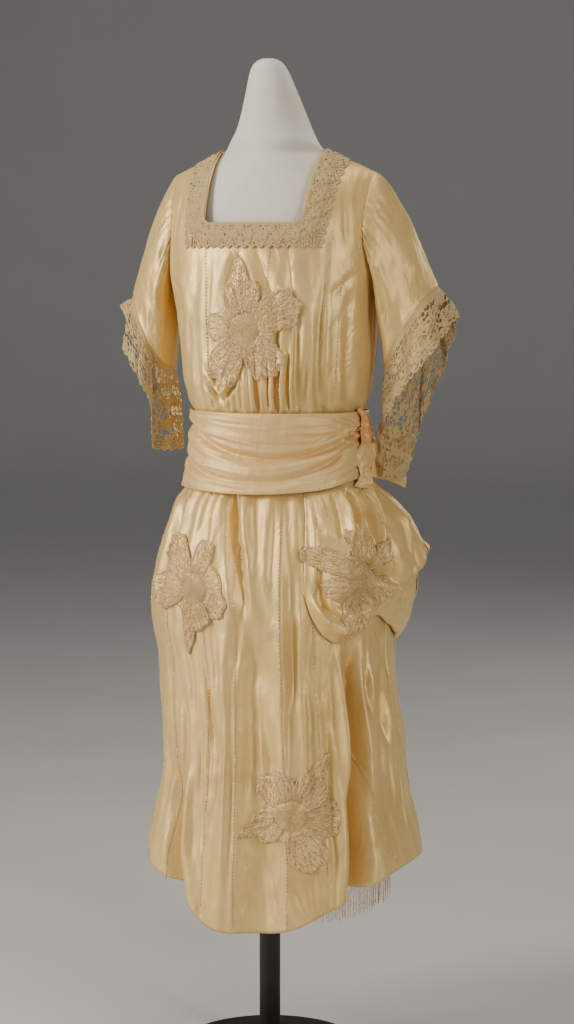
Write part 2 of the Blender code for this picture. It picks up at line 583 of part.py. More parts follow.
def fold_depth(table, angle_deg, z):
    total = np.zeros(np.broadcast(angle_deg, z).shape)
    for row in table:
        fold = dict(zip(FOLD, row))
        share = np.clip((fold["z_from"] - z) / (fold["z_from"] - fold["z_to"]), 0, 1)
        angle = fold["angle_from"] + (fold["angle_to"] - fold["angle_from"]) * share
        half = fold["half_from"] + (fold["half_to"] - fold["half_from"]) * share
        depth = fold["depth_from"] + (fold["depth_to"] - fold["depth_from"]) * share
        start = np.clip((fold["z_from"] - z) / 0.06, 0, 1)
        end = np.clip((z - fold["z_to"]) / 0.06, 0, 1) if fold["z_to"] > 0.3 else 1.0
        total = total + depth * bump(turn_between(angle_deg, angle), half) * start * end
    return total


def skirt_gathers(angle, z):
    level = smooth(z, (0.600, 0.780, 0.860, 0.930), (0.0, 0.35, 1.0, 0.3))
    return GATHER_DEPTH * level * np.cos(GATHERS * angle)


def skirt_point(angle, z):
    degrees = np.degrees(angle)
    out = fold_depth(SKIRT_FOLDS, degrees, z) + skirt_gathers(angle, z)
    return section_point(SKIRT, angle, z) + radial(angle) * out[..., None]


def skirt_grid(first, last, size):
    cols, rows = size
    angle = np.radians(np.linspace(first, last, cols + 1))[None, :]
    share = np.linspace(0, 1, rows + 1)[:, None] ** 1.3
    hem = pairs(turn_between(np.degrees(angle), 0), HEM)
    return trimmed(skirt_point(*np.broadcast_arrays(angle, WAIST_Z + (hem - WAIST_Z) * share)))


def make_skirt():
    front = skirt_grid(-90, 90, SKIRT_FRONT_GRID)
    back = skirt_grid(90, 270, SKIRT_BACK_GRID)
    for name, grid in (("skirt_front", front), ("skirt_back", back)):
        normal = grid_normals(grid)
        normal[0] = onto_seam(normal[0], (0, 0, 1))
        for edge in (0, -1):
            normal[:, edge] = onto_seam(normal[:, edge], (0, 1, 0))
        wall(name, grid, grid - normal * SATIN, "satin")
    return front


# The hip drape

def drape_grid(first, last, bottom, size):
    """first and last give the edges' angles at each share down the piece."""
    cols, rows = size
    p = np.linspace(0, 1, cols + 1)[None, :]
    q = np.linspace(0, 1, rows + 1)[:, None] ** 0.9
    p, q = np.broadcast_arrays(p, q)
    start, end = pairs(q, first), pairs(q, last)
    degrees = start + (end - start) * p
    top = pairs(degrees, SASH_BOTTOM) - 2 * SEAM
    z = top + (pairs(degrees, bottom) - top) * q
    angle = np.radians(degrees)
    puff = pairs(degrees, DRAPE_PUFF) * np.sin(math.pi * np.clip(q, 0, 1) ** 1.35) ** 0.62
    puff = puff * np.clip((1 - q) * rows / 1.2, 0, 1) ** 0.5
    for centre, drift, half, depth in DRAPE_FOLDS:
        puff = puff + depth * bump(degrees - centre - drift * q, half) * np.sin(math.pi * q ** 0.8)
    clear = SATIN + DRAPE_CLEAR
    corner_at, corner_z, wide, high, out = DRAPE_CORNER
    puff = puff + out * bump(degrees - corner_at, wide) * bump(z - corner_z, high)
    below = np.clip((pairs(degrees, DRAPE_LAP) - z) / DRAPE_LAP_SOFT, 0, 1)
    side = np.clip((degrees - 70) / 14, 0, 1) * np.clip((138 - degrees) / 14, 0, 1)
    puff = puff - DRAPE_LAP_DEPTH * below * side * np.clip((1 - q) * 5, 0, 1)
    under = np.clip(fold_depth(SKIRT_FOLDS, degrees, z), 0, None) + GATHER_DEPTH
    return section_point(SKIRT, angle, z) + radial(angle) * (under + clear + np.clip(puff, 0, None))[..., None]


def make_drape():
    seam = ((0.0, DRAPE_SEAM - 0.1), (1.0, DRAPE_SEAM - 0.1))
    front = trimmed(drape_grid(DRAPE_LEFT, seam, DRAPE_BOTTOM, DRAPE_GRID))
    seam = ((0.0, DRAPE_SEAM + 0.1), (1.0, DRAPE_SEAM + 0.1))
    end = ((0.0, DRAPE_BACK_END), (1.0, DRAPE_BACK_END))
    back = trimmed(drape_grid(seam, end, DRAPE_BACK_BOTTOM, DRAPE_BACK_GRID))
    at = math.radians(DRAPE_SEAM)
    for name, grid, edge in (("hip_drape", front, -1), ("hip_drape_back", back, 0)):
        normal = grid_normals(grid)
        normal[:, edge] = onto_seam(normal[:, edge], (math.cos(at), math.sin(at), 0))
        wall(name, grid, grid - normal * SATIN, "satin")
    return front


# The sash

def sash_crease(degrees, share):
    total = np.zeros(np.broadcast(degrees, share).shape)
    for line, depth in SASH_CREASES:
        total = total + depth * bump(share - pairs(degrees, line), 0.11)
    return total


def make_sash():
    cols, rows = SASH_GRID
    degrees = (np.arange(cols) * 360 / cols - 180)[None, :]
    share = np.linspace(1, 0, rows + 1)[:, None]
    degrees, share = np.broadcast_arrays(degrees, share)
    bottom = pairs(degrees, SASH_BOTTOM)
    z = bottom + (SASH_TOP_Z - bottom) * share
    angle = np.radians(degrees)
    base = section_point(SASH, angle, z)
    crease = sash_crease(degrees, share)
    outer = base + radial(angle) * crease[..., None]
    wall("sash_band", outer, outer - radial(angle) * SASH_WALL, "sash_satin", closed=True)


def ribbon(name, path, widths, spread, slot, thickness=SATIN, curl=0.0):
    """A flat strip along a path, as wide at each point as widths says, in the direction of spread."""
    path, widths = np.array(path, float), np.array(widths, float)
    spread = np.array(spread, float)
    if spread.ndim == 1:
        spread = np.tile(spread, (len(path), 1))
    share = np.linspace(-0.5, 0.5, 6)
    tangent = np.gradient(path, axis=0)
    out = np.cross(spread, tangent)
    out /= np.linalg.norm(out, axis=1, keepdims=True)
    grid = path[:, None] + spread[:, None] * (widths[:, None] * share)[..., None]
    grid = grid + out[:, None] * (curl * (1 - (2 * share) ** 2))[None, :, None]
    normal = grid_normals(grid)
    return wall(name, grid, grid - normal * thickness, slot)


def make_sash_ends():
    """The knot at the wearer's left side, its loop and its long end."""
    at = math.radians(84)
    out = radial(at)
    along = np.array([math.cos(at), math.sin(at), 0.0])
    rows = 9
    lift = SASH_WALL + 0.0024
    path = []
    for k in range(rows):
        share = k / (rows - 1)
        z = 0.998 + (0.886 - 0.998) * share
        base = section_point(SASH, at, z)
        path.append(base + out * (lift + 0.012 * math.sin(math.pi * share) ** 0.7))
    widths = [0.050 - 0.016 * math.sin(math.pi * k / (rows - 1)) for k in range(rows)]
    ribbon("sash_knot", path, widths, along, "sash_satin", thickness=0.0024, curl=0.004)
    # The loop stands out behind the knot and folds back on itself.
    ribbon("sash_loop", LOOP_PATH, [0.062, 0.070, 0.078, 0.082, 0.082, 0.078, 0.070, 0.060],
           (0.12, 0.16, 0.98), "sash_satin")


def tail_grid():
    """The sash's long end hangs behind the wearer's left, clear of the skirt."""
    cols, rows = TAIL_GRID
    p = np.linspace(0, 1, cols + 1)[None, :]
    q = np.linspace(0, 1, rows + 1)[:, None]
    p, q = np.broadcast_arrays(p, q)
    middle, width, y = (smooth(q, column(TAIL_ROWS, TAIL, "share"), column(TAIL_ROWS, TAIL, n)) for n in TAIL[1:])
    x = middle + (p - 0.5) * width
    z = TAIL_TOP_Z + (pairs(x, TAIL_END) - TAIL_TOP_Z) * q
    y = y - 0.8 * x * x + 0.005 * np.cos(p * 9.0) * q
    grid = np.stack([x, y, z], -1)
    return grid[:, ::-1]


def make_tail():
    grid = tail_grid()
    wall("sash_tail", grid, grid - grid_normals(grid) * SATIN, "sash_satin")
    return grid


def make_fringe(grid):
    """Beaded strands that hang from a narrow strip inside the long end's edge."""
    strands, strip, length = 34, 0.006, 0.066
    edge = grid[-1]
    outward = grid_normals(grid)[-1]
    along = np.linspace(0.02, 0.98, 2 * strands)
    at = along * (len(edge) - 1)
    face = np.stack([np.interp(at, range(len(edge)), edge[:, k]) for k in range(3)], -1)
    out = np.stack([np.interp(at, range(len(edge)), outward[:, k]) for k in range(3)], -1)
    face = face - out * (SATIN + 0.0005)
    top = face + (0, 0, strip * 0.7)
    low = face - (0, 0, strip * 0.3)
    outer = np.stack([top, low])
    piece = wall("tail_fringe", outer, outer - out * 0.0014, "beadwork")
    mesh = bmesh.new()
    mesh.from_mesh(piece.data)
    mesh.verts.ensure_lookup_table()
    bmesh.ops.join_triangles(mesh, faces=mesh.faces, angle_face_threshold=3.1, angle_shape_threshold=3.1)
    under = sorted((f for f in mesh.faces if f.normal.z < -0.7), key=lambda f: f.calc_center_median().x)
    strand_faces = [f for n, f in enumerate(under) if n % 2 == 0]
    made = bmesh.ops.extrude_discrete_faces(mesh, faces=strand_faces)["faces"]
    for n, face_end in enumerate(made):
        drop = length * (0.93 + 0.07 * math.sin(n * 2.1))
        bmesh.ops.translate(mesh, verts=face_end.verts, vec=(0, 0, -drop))
    bmesh.ops.triangulate(mesh, faces=mesh.faces)
    mesh.to_mesh(piece.data)
    mesh.free()


# The sleeves and their lace

def armhole_loop(front, back, left):
    """Points round the armhole from the shoulder, down the front, to the armpit and up the back."""
    down = front[:ARMHOLE_ROWS, -1 if left else 0]
    up = back[ARMHOLE_ROWS:0:-1, 0 if left else -1]
    loop = np.concatenate([down, up])
    middle = (loop.max(axis=0) + loop.min(axis=0)) / 2
    around = np.degrees(np.arctan2(middle[1] - loop[:, 1], loop[:, 2] - middle[2])) % 360
    around[0], around[ARMHOLE_ROWS] = 0, 180
    return loop, around


def hem_loop(angle, side):
    """The slanting end of the satin sleeve, and the way its edge faces."""
    sign = 1 if side == "left" else -1
    c, s = np.cos(angle), np.sin(angle)
    centre, outer = np.array(SLEEVE_HEM[side]), np.array(SLEEVE_OUTER)
    points = centre + outer * c[:, None]
    points[:, 1] -= SLEEVE_DEPTH * s
    points[:, 2] -= SLEEVE_BACK_DROP * np.clip(-s, 0, None)
    way = (points - centre) * (1, 1, 0.3)
    way /= np.linalg.norm(way, axis=1, keepdims=True)
    return points * (sign, 1, 1), way * (sign, 1, 1)


def sleeve_rings(front, back, left):
    sign = 1 if left else -1
    start, around = armhole_loop(front, back, left)
    start = start + (sign * 2 * SEAM, 0, 0)
    angle = np.radians(around)
    end, way = hem_loop(angle, "left" if left else "right")
    rings = []
    for t in np.linspace(0, 1, SLEEVE_ROWS + 1):
        ring = start + (end - start) * t
        # the sleeve head stands out round the shoulder and eases in under the arm
        puff = np.sin(math.pi * t ** 0.75) * (SLEEVE_HEAD * np.clip(np.cos(angle), 0, 1) + SLEEVE_EASE)
        upper = np.clip(np.cos(angle), 0, 1)
        away = np.stack([sign * upper, -0.8 * np.sin(angle), 0.45 * upper], -1)
        rings.append(ring + away * puff[:, None])
    return np.array(rings), way, around


def ring_wall(name, rings, sign, slot, thickness, top_way=None, end_way=None, missing=(), closed=True):
    """A wall round a limb. The left sleeve's rings are turned round, to face outward like the right one's."""
    turn = -1 if sign > 0 else 1
    grid = rings[:, ::turn]
    normal = grid_normals(grid, closed)
    normal[0] = onto_seam(normal[0], (1, 0, 0)) if top_way is None else top_way[::turn]
    if end_way is not None:
        normal[-1] = end_way[::turn]
    if closed:
        normal = normal + 0.5 * (np.roll(normal, 1, axis=1) + np.roll(normal, -1, axis=1))
        normal /= np.linalg.norm(normal, axis=-1, keepdims=True)
    else:
        for edge in (0, -1):
            normal[:, edge] = onto_seam(normal[:, edge], (0, 1, 0))
    wall(name, grid, grid - normal * thickness, slot, closed=closed, missing=missing)


def make_sleeves(front, back):
    for left, side in ((True, "left"), (False, "right")):
        sign = 1 if left else -1
        rings, way, around = sleeve_rings(front, back, left)
        ring_wall("sleeve_" + side, rings, sign, "satin", SATIN, end_way=way)
        make_cuff(side, sign, np.append(around, 360.0))


def make_cuff(side, sign, around):
    """The lace flounce that hangs from the sleeve's hem, in a front and a back half, with its open ground cut through."""
    rows = CUFF_ROWS
    table = CUFF_EDGE[side]
    for half, first in (("front", 0.0), ("back", 180.0)):
        corners = [a for a in around if first <= a <= first + 180]
        cols = 2 * (len(corners) - 1)
        degrees = np.interp(np.arange(cols + 1), np.arange(0, cols + 1, 2), corners)
        angle = np.radians(degrees)
        # the lace's top follows the straight edges between the sleeve's own points
        hem, hem_way = hem_loop(np.radians(around), side)
        tangent = np.gradient(hem, axis=0)
        tangent[0] = tangent[-1] = tangent[0] + tangent[-1]
        away = np.cross(hem_way, tangent) * sign
        hem = hem + away / np.linalg.norm(away, axis=1, keepdims=True) * 2 * SEAM
        top = np.stack([np.interp(degrees, around, hem[:, k]) for k in range(3)], -1)
        way = np.stack([np.interp(degrees, around, hem_way[:, k]) for k in range(3)], -1)
        edge = np.stack([smooth(degrees, [r[0] for r in table], [r[k] for r in table]) for k in (1, 2, 3)], -1)
        edge = edge * (sign, 1, 1)
        wave = np.where(np.arange(cols + 1) % 2 == 0, -SCALLOP, 0.0)
        edge[:, 2] += wave
        share = np.linspace(0, 1, rows + 1)
        rings = top[None] + (edge - top)[None] * share[:, None, None]
        swell = np.sin(math.pi * share)[:, None] * 0.004 * np.cos(np.radians(degrees) * 7)
        rings = rings + np.stack([sign * np.cos(angle), -np.sin(angle), 0 * angle], -1)[None] * swell[..., None]
        step = rings[:, 1] - rings[:, 0]
        rings[:, 0] += step / np.linalg.norm(step, axis=-1, keepdims=True) * SEAM
        step = rings[:, -2] - rings[:, -1]
        rings[:, -1] += step / np.linalg.norm(step, axis=-1, keepdims=True) * SEAM
        # open ground between the worked flowers, every other cell of two rows
        holes = [(i, j) for i in (1, 3) for j in range(1 + (i // 2) % 2, cols - 1, 2)]
        if sign > 0:
            holes = [(i, cols - 1 - j) for i, j in holes]
        ring_wall("cuff_lace_%s_%s" % (half, side), rings, sign, "lace", LACE, way, missing=holes, closed=False)


def make_dress():
    front, front_gap, back, back_gap = make_bodice()
    make_collar(front, front_gap, back, back_gap)
    make_sleeves(front, back)
    skirt_front = make_skirt()
    drape = make_drape()
    make_sash()
    make_sash_ends()
    tail = make_tail()
    make_fringe(tail)
    make_flower("flower_chest", CHEST_FLOWER, front, (0.0, -0.05, 1.124), (1, 0, 0), missing=front_gap)
    for name, design, grid, degrees, z in (
        ("flower_hip_right", HIP_FLOWER_RIGHT, skirt_front, -27, 0.735),
        ("flower_hem", HEM_FLOWER, skirt_front, 26, 0.405),
        ("flower_hip_left", HIP_FLOWER_LEFT, drape, 62, 0.756),
    ):
        at = math.radians(degrees)
        across = (math.cos(at), math.sin(at), 0)
        place = radial(at) * 0.07 + (0, BODY_Y, z)
        make_flower(name, design, grid, place, across, reach=0.20)


def main():
    for thing in list(bpy.data.objects):
        bpy.data.objects.remove(thing)
    make_stand()
    make_form()
    make_dress()


main()
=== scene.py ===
# looks for the satin wedding dress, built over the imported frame
# front is -y, the wearer's left is +x, angles run 0 front, 90 left, 180 back
import json
import math

import bpy
import numpy as np
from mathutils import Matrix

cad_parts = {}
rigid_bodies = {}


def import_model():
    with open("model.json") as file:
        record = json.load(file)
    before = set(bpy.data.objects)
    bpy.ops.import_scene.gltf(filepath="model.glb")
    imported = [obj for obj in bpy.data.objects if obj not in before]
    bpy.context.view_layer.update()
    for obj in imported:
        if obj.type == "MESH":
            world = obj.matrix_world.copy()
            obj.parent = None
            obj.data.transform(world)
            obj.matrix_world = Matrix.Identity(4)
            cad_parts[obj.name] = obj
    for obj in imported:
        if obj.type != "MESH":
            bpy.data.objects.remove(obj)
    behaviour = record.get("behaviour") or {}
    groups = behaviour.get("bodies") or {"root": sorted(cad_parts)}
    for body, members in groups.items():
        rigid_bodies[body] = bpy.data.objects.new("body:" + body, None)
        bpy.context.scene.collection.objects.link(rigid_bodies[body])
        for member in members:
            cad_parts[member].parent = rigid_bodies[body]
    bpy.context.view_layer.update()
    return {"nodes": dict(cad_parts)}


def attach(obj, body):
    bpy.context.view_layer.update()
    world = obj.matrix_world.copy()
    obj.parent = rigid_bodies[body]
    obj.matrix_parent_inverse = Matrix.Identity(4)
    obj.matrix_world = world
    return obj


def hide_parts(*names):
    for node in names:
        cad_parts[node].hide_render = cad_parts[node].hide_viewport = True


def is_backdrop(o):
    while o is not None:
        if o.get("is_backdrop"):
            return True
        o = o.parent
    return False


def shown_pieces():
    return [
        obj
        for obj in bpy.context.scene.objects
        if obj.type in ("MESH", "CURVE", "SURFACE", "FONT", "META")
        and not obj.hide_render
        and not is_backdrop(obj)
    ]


for thing in list(bpy.data.objects):
    bpy.data.objects.remove(thing)
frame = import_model()
rng = np.random.default_rng(7)
print("frame loaded", len(frame["nodes"]), "nodes")


# camera first, at the photo's angle
camera = {"place": (1.2430, -3.1648, 1.20), "tilt": 83.96, "turn": 21, "lens": 79.7, "sensor": 36}
# the body's sections are rounded boxes about a line through this depth
body = {"middleY": 0.025, "roundness": 2.2}
# reach and facing of a sheet seen square on, and how many of its points each place is averaged from
trimming = {"reach": 0.16, "facing": 0.1, "neighbours": 30, "spread": 2.2e-5, "batch": 400}


def addCamera():
    data = bpy.data.cameras.new("photoCamera")
    data.sensor_width = camera["sensor"]
    data.lens = camera["lens"]
    cam = bpy.data.objects.new("photoCamera", data)
    bpy.context.scene.collection.objects.link(cam)
    cam.location = camera["place"]
    cam.rotation_euler = (math.radians(camera["tilt"]), 0, math.radians(camera["turn"]))
    bpy.context.scene.camera = cam


# small tools
def smoothCurve(x, xs, ys):
    # monotone cubic through the points
    xs, ys = np.asarray(xs, float), np.asarray(ys, float)
    if xs[0] > xs[-1]:
        xs, ys = xs[::-1], ys[::-1]
    x = np.clip(np.asarray(x, float), xs[0], xs[-1])
    step = np.diff(xs)
    slope = np.diff(ys) / step
    tangent = np.zeros(len(xs))
    same = slope[1:] * slope[:-1] > 0
    tangent[1:-1] = np.where(same, 2 * slope[1:] * slope[:-1] / np.where(same, slope[1:] + slope[:-1], 1), 0)
    tangent[0], tangent[-1] = slope[0], slope[-1]
    i = np.clip(np.searchsorted(xs, x, side="right") - 1, 0, len(xs) - 2)
    t = (x - xs[i]) / step[i]
    return (ys[i] * (1 + 2 * t) * (1 - t) ** 2 + tangent[i] * step[i] * t * (1 - t) ** 2
            + ys[i + 1] * t * t * (3 - 2 * t) + tangent[i + 1] * step[i] * t * t * (t - 1))


def columns(x, table):
    # the table's other columns, read off where its first one is x
    keys = [row[0] for row in table]
    return [smoothCurve(x, keys, [row[k] for row in table]) for k in range(1, len(table[0]))]


def pairs(x, table):
    return columns(x, table)[0]


def ease(t):
    return t * t * (3 - 2 * t)


def interpRows(at, keys, rows):
    return np.stack([np.interp(at, keys, rows[:, k]) for k in range(3)], -1)


def radial(angle):
    angle = np.asarray(angle, float)
    return np.stack([np.sin(angle), -np.cos(angle), np.zeros(angle.shape)], -1)


def bump(distance, half):
    return 0.5 + 0.5 * np.cos(math.pi * np.clip(np.abs(distance) / half, 0, 1))


def turnBetween(a, b):
    return (a - b + 180) % 360 - 180


def sectionPoint(table, angle, z):
    # rows are z, right, left, front, back
    angle, z = np.broadcast_arrays(np.asarray(angle, float), np.asarray(z, float))
    right, left, front, back = columns(z, table)
    s, c = np.sin(angle), np.cos(angle)
    half, deep = np.where(s >= 0, left, right), np.where(c >= 0, front, back)
    power = 2 / body["roundness"]
    x = half * np.sign(s) * np.abs(s) ** power
    y = body["middleY"] - deep * np.sign(c) * np.abs(c) ** power
    return np.stack([x, y, z], -1)


def gridNormals(grid, closed=False):
    down = np.gradient(grid, axis=0)
    along = np.roll(grid, -1, axis=1) - np.roll(grid, 1, axis=1) if closed else np.gradient(grid, axis=1)
    normal = np.cross(down, along)
    return normal / np.maximum(np.linalg.norm(normal, axis=-1, keepdims=True), 1e-12)


def gridLengths(grid, closed=False):
    # metres along the rows and down the columns, used as the cloth's own uv
    wide = np.concatenate([grid, grid[:, :1]], axis=1) if closed else grid
    across = np.linalg.norm(np.diff(wide, axis=1), axis=-1)
    u = np.concatenate([np.zeros((len(grid), 1)), np.cumsum(across, axis=1)], axis=1)
    u = u - u[:, u.shape[1] // 2][:, None]
    down = np.linalg.norm(np.diff(wide, axis=0), axis=-1)
    v = np.concatenate([np.zeros((1, wide.shape[1])), np.cumsum(down, axis=0)])
    return u, v


def softNoise(u, v, seed):
    # smooth noise from -1 to 1, about one unit across
    size = 64
    field = np.random.default_rng(seed).uniform(-1, 1, (size, size))
    u, v = np.broadcast_arrays(np.asarray(u, float), np.asarray(v, float))
    i, j = np.floor(u).astype(int), np.floor(v).astype(int)
    s, t = ease(u - i), ease(v - j)
    i, j, nextI, nextJ = i % size, j % size, (i + 1) % size, (j + 1) % size
    low = field[i, j] * (1 - s) + field[nextI, j] * s
    high = field[i, nextJ] * (1 - s) + field[nextI, nextJ] * s
    return low * (1 - t) + high * t


def crinkle(u, v, size, seed, wide=0.026, long=0.085):
    # unevenness of hanging satin: crisp low ridges between softer hollows
    bend = softNoise(u / wide * 0.4, v / long * 0.4, seed + 40)
    total = 0
    for k, (scale, weight) in enumerate(((0.6, 1.0), (1.3, 0.55), (2.7, 0.26))):
        n = softNoise(u * scale / wide + bend * 0.8, v * scale / long + bend * 0.5, seed + k)
        total = total + weight * (0.55 - 1.5 * np.sqrt(n * n + 0.012)) * (1 if k % 2 else -1)
    return total * size


def creaseLines(table, across, down, metre=1.0, turning=False):
    # each row is a line from one place to another, its width and depth; a trough has soft raised sides
    total = np.zeros(np.broadcast(across, down).shape)
    for a1, d1, a2, d2, width, depth in table:
        away = turnBetween(across, a1) if turning else across - a1
        dx, dz = (a2 - a1) * metre, d2 - d1
        px, pz = away * metre, down - d1
        size = math.hypot(dx, dz)
        along = (px * dx + pz * dz) / size ** 2
        off = (px * dz - pz * dx) / size / width
        ends = ease(np.clip(np.minimum(along + 0.15, 1.15 - along) / 0.4, 0, 1))
        trough = 1.35 * np.exp(-1.7 * np.sqrt(off ** 2 + 0.03))
        sides = 0.30 * np.exp(-(np.abs(off) - 2.2) ** 2)
        total = total + depth * (trough - sides) * ends
    return total


def only(thing):
    bpy.ops.object.select_all(action="DESELECT")
    thing.select_set(True)
    bpy.context.view_layer.objects.active = thing


def applyAll(thing):
    only(thing)
    for mod in list(thing.modifiers):
        bpy.ops.object.modifier_apply(modifier=mod.name)


def addMesh(name, points, faces, mats, uv=None):
    mesh = bpy.data.meshes.new(name)
    mesh.from_pydata(np.asarray(points, float).tolist(), [], faces)
    for mat in mats:
        mesh.materials.append(mat)
    if uv is not None:
        mesh.uv_layers.new(name="cloth").data.foreach_set("uv", np.asarray(uv, float).ravel())
    mesh.shade_smooth()
    thing = bpy.data.objects.new(name, mesh)
    bpy.context.scene.collection.objects.link(thing)
    return thing


def gridMesh(name, grid, mats, closed=False, missing=None):
    rows, cols = grid.shape[:2]
    u, v = gridLengths(grid, closed)
    wide = cols if closed else cols - 1
    i, j = (a.ravel() for a in np.mgrid[0:rows - 1, 0:wide])
    if missing is not None:
        kept = ~missing[i, j]
        i, j = i[kept], j[kept]
    k = (j + 1) % cols
    faces = np.stack([i * cols + j, (i + 1) * cols + j, (i + 1) * cols + k, i * cols + k], -1)
    corners = [(i, j), (i + 1, j), (i + 1, j + 1), (i, j + 1)]
    uv = np.stack([np.stack([u[a, b], -v[a, b]], -1) for a, b in corners], 1)
    used = np.unique(faces)
    place = np.full(rows * cols, -1)
    place[used] = np.arange(len(used))
    return addMesh(name, grid.reshape(-1, 3)[used], place[faces].tolist(), mats, uv)


def clipMesh(name, grid, field, mats, uvGrid=None):
    # keeps the part of the grid where field is above zero, cut along the zero line
    cols = field.shape[1]
    u, v = gridLengths(grid)
    flat, value = grid.reshape(-1, 3), field.ravel()
    uvFlat = np.stack([u.ravel(), -v.ravel()], -1) if uvGrid is None else uvGrid.reshape(-1, 2)
    points, coords, place, faces = [], [], {}, []

    def vertex(a):
        if a not in place:
            place[a] = len(points)
            points.append(flat[a])
            coords.append(uvFlat[a])
        return place[a]

    def crossing(a, b):
        key = (a, b) if a < b else (b, a)
        if key not in place:
            share = value[key[0]] / (value[key[0]] - value[key[1]])
            place[key] = len(points)
            points.append(flat[key[0]] + (flat[key[1]] - flat[key[0]]) * share)
            coords.append(uvFlat[key[0]] + (uvFlat[key[1]] - uvFlat[key[0]]) * share)
        return place[key]

    inside = field > 0
    most = inside[:-1, :-1].astype(int) + inside[1:, :-1] + inside[1:, 1:] + inside[:-1, 1:]
    for i, j in zip(*np.nonzero(most)):
        a, b, c, d = i * cols + j, (i + 1) * cols + j, (i + 1) * cols + j + 1, i * cols + j + 1
        if most[i, j] == 4:
            faces.append([vertex(a), vertex(b), vertex(c), vertex(d)])
            continue
        for corner in ((a, b, c), (a, c, d)):
            ring = []
            for n in range(3):
                p, q = corner[n], corner[(n + 1) % 3]
                if value[p] > 0:
                    ring.append(vertex(p))
                if (value[p] > 0) != (value[q] > 0):
                    ring.append(crossing(p, q))
            if len(ring) >= 3:
                faces.append(ring)
    uv = np.array(coords)[np.concatenate(faces)]
    return addMesh(name, points, faces, mats, uv)


def thicken(thing, thick, inside=0, even=True):
    wall = thing.modifiers.new("cloth", "SOLIDIFY")
    wall.thickness = thick
    wall.offset = -1
    wall.use_even_offset = even
    wall.material_offset = inside
    applyAll(thing)
    return thing


def beads(name, place, along, normal, length, width, mat, tone=None):
    # one joined mesh of small long beads lying along their own direction
    place, along, normal = (np.asarray(a, float) for a in (place, along, normal))
    count = len(place)
    length = np.broadcast_to(np.asarray(length, float), (count,))[:, None, None]
    width = np.broadcast_to(np.asarray(width, float), (count,))[:, None, None]
    along = along / np.linalg.norm(along, axis=1, keepdims=True)
    side = np.cross(normal, along)
    side /= np.maximum(np.linalg.norm(side, axis=1, keepdims=True), 1e-9)
    up = np.cross(along, side)
    ring = [(e, math.cos(a), math.sin(a)) for e in (-0.34, 0.34) for a in (0.785, 2.356, 3.927, 5.498)]
    shape = np.array([(-0.5, 0, 0)] + ring + [(0.5, 0, 0)])
    points = (place[:, None] + along[:, None] * shape[None, :, :1] * length
              + (side[:, None] * shape[None, :, 1:2] + up[:, None] * shape[None, :, 2:]) * width / 2)
    cell = [(0, 1 + (k + 1) % 4, 1 + k) for k in range(4)] + [(9, 5 + k, 5 + (k + 1) % 4) for k in range(4)]
    sides = [(1 + k, 1 + (k + 1) % 4, 5 + (k + 1) % 4, 5 + k) for k in range(4)]
    faces = []
    for n in range(count):
        faces += [tuple(f + n * 10 for f in one) for one in cell + sides]
    thing = addMesh(name, points.reshape(-1, 3), faces, [mat])
    # tone is each bead's random colour; the bead materials paint the highest tones as a glint
    layer = thing.data.attributes.new("tone", "FLOAT", "POINT")
    tone = rng.random(count) if tone is None else np.broadcast_to(tone, (count,))
    layer.data.foreach_set("value", np.repeat(tone, 10))
    only(thing)
    bpy.ops.object.mode_set(mode="EDIT")
    bpy.ops.mesh.select_all(action="SELECT")
    bpy.ops.mesh.normals_make_consistent(inside=False)
    bpy.ops.object.mode_set(mode="OBJECT")
    return thing


def patch(grid, origin, across, up):
    # a sheet seen square on, so that trimming can be laid on it by flat sizes
    normal = gridNormals(grid)
    across, up, origin = (np.asarray(a, float) for a in (across, up, origin))
    out = np.cross(across, up)
    facing = np.sum(normal * out, axis=-1).ravel() > trimming["facing"]
    flat, normal = grid.reshape(-1, 3)[facing], normal.reshape(-1, 3)[facing]
    a, b = (flat - origin) @ across, (flat - origin) @ up
    near = (np.abs(a) < trimming["reach"]) & (np.abs(b) < trimming["reach"]) & ((flat - origin) @ out > 0)
    return {"a": a[near], "b": b[near], "points": flat[near], "normals": normal[near],
            "across": across, "up": up}


def layOn(sheet, a, b):
    # the sheet's point and normal at flat places a, b, as an average that bridges the narrow creases
    a, b = np.asarray(a, float).ravel(), np.asarray(b, float).ravel()
    points, normals = np.zeros((len(a), 3)), np.zeros((len(a), 3))
    count = trimming["neighbours"]
    for start in range(0, len(a), trimming["batch"]):
        part = slice(start, start + trimming["batch"])
        gap = (a[part, None] - sheet["a"]) ** 2 + (b[part, None] - sheet["b"]) ** 2
        near = np.argpartition(gap, count, axis=1)[:, :count]
        close = np.exp(-np.take_along_axis(gap, near, 1) / trimming["spread"]) + 1e-9
        close /= close.sum(axis=1, keepdims=True)
        middle = np.sum(sheet["points"][near] * close[..., None], axis=1)
        offA = a[part] - np.sum(sheet["a"][near] * close, axis=1)
        offB = b[part] - np.sum(sheet["b"][near] * close, axis=1)
        points[part] = middle + sheet["across"] * offA[:, None] + sheet["up"] * offB[:, None]
        normals[part] = np.sum(sheet["normals"][near] * close[..., None], axis=1)
    return points, normals / np.linalg.norm(normals, axis=1, keepdims=True)


# materials
def newMaterial(name):
    mat = bpy.data.materials.new(name)
    mat.use_nodes = True
    nodes, links = mat.node_tree.nodes, mat.node_tree.links
    return mat, nodes, links, nodes["Principled BSDF"]


def coords(nodes, links, kind, scale):
    source = nodes.new("ShaderNodeTexCoord")
    mapping = nodes.new("ShaderNodeMapping")
    mapping.inputs["Scale"].default_value = scale
    links.new(source.outputs[kind], mapping.inputs["Vector"])
    return mapping.outputs["Vector"]


def noise(nodes, links, vector, scale, detail=2.0):
    tex = nodes.new("ShaderNodeTexNoise")
    tex.inputs["Scale"].default_value = scale
    tex.inputs["Detail"].default_value = detail
    links.new(vector, tex.inputs["Vector"])
    return tex.outputs["Fac"]


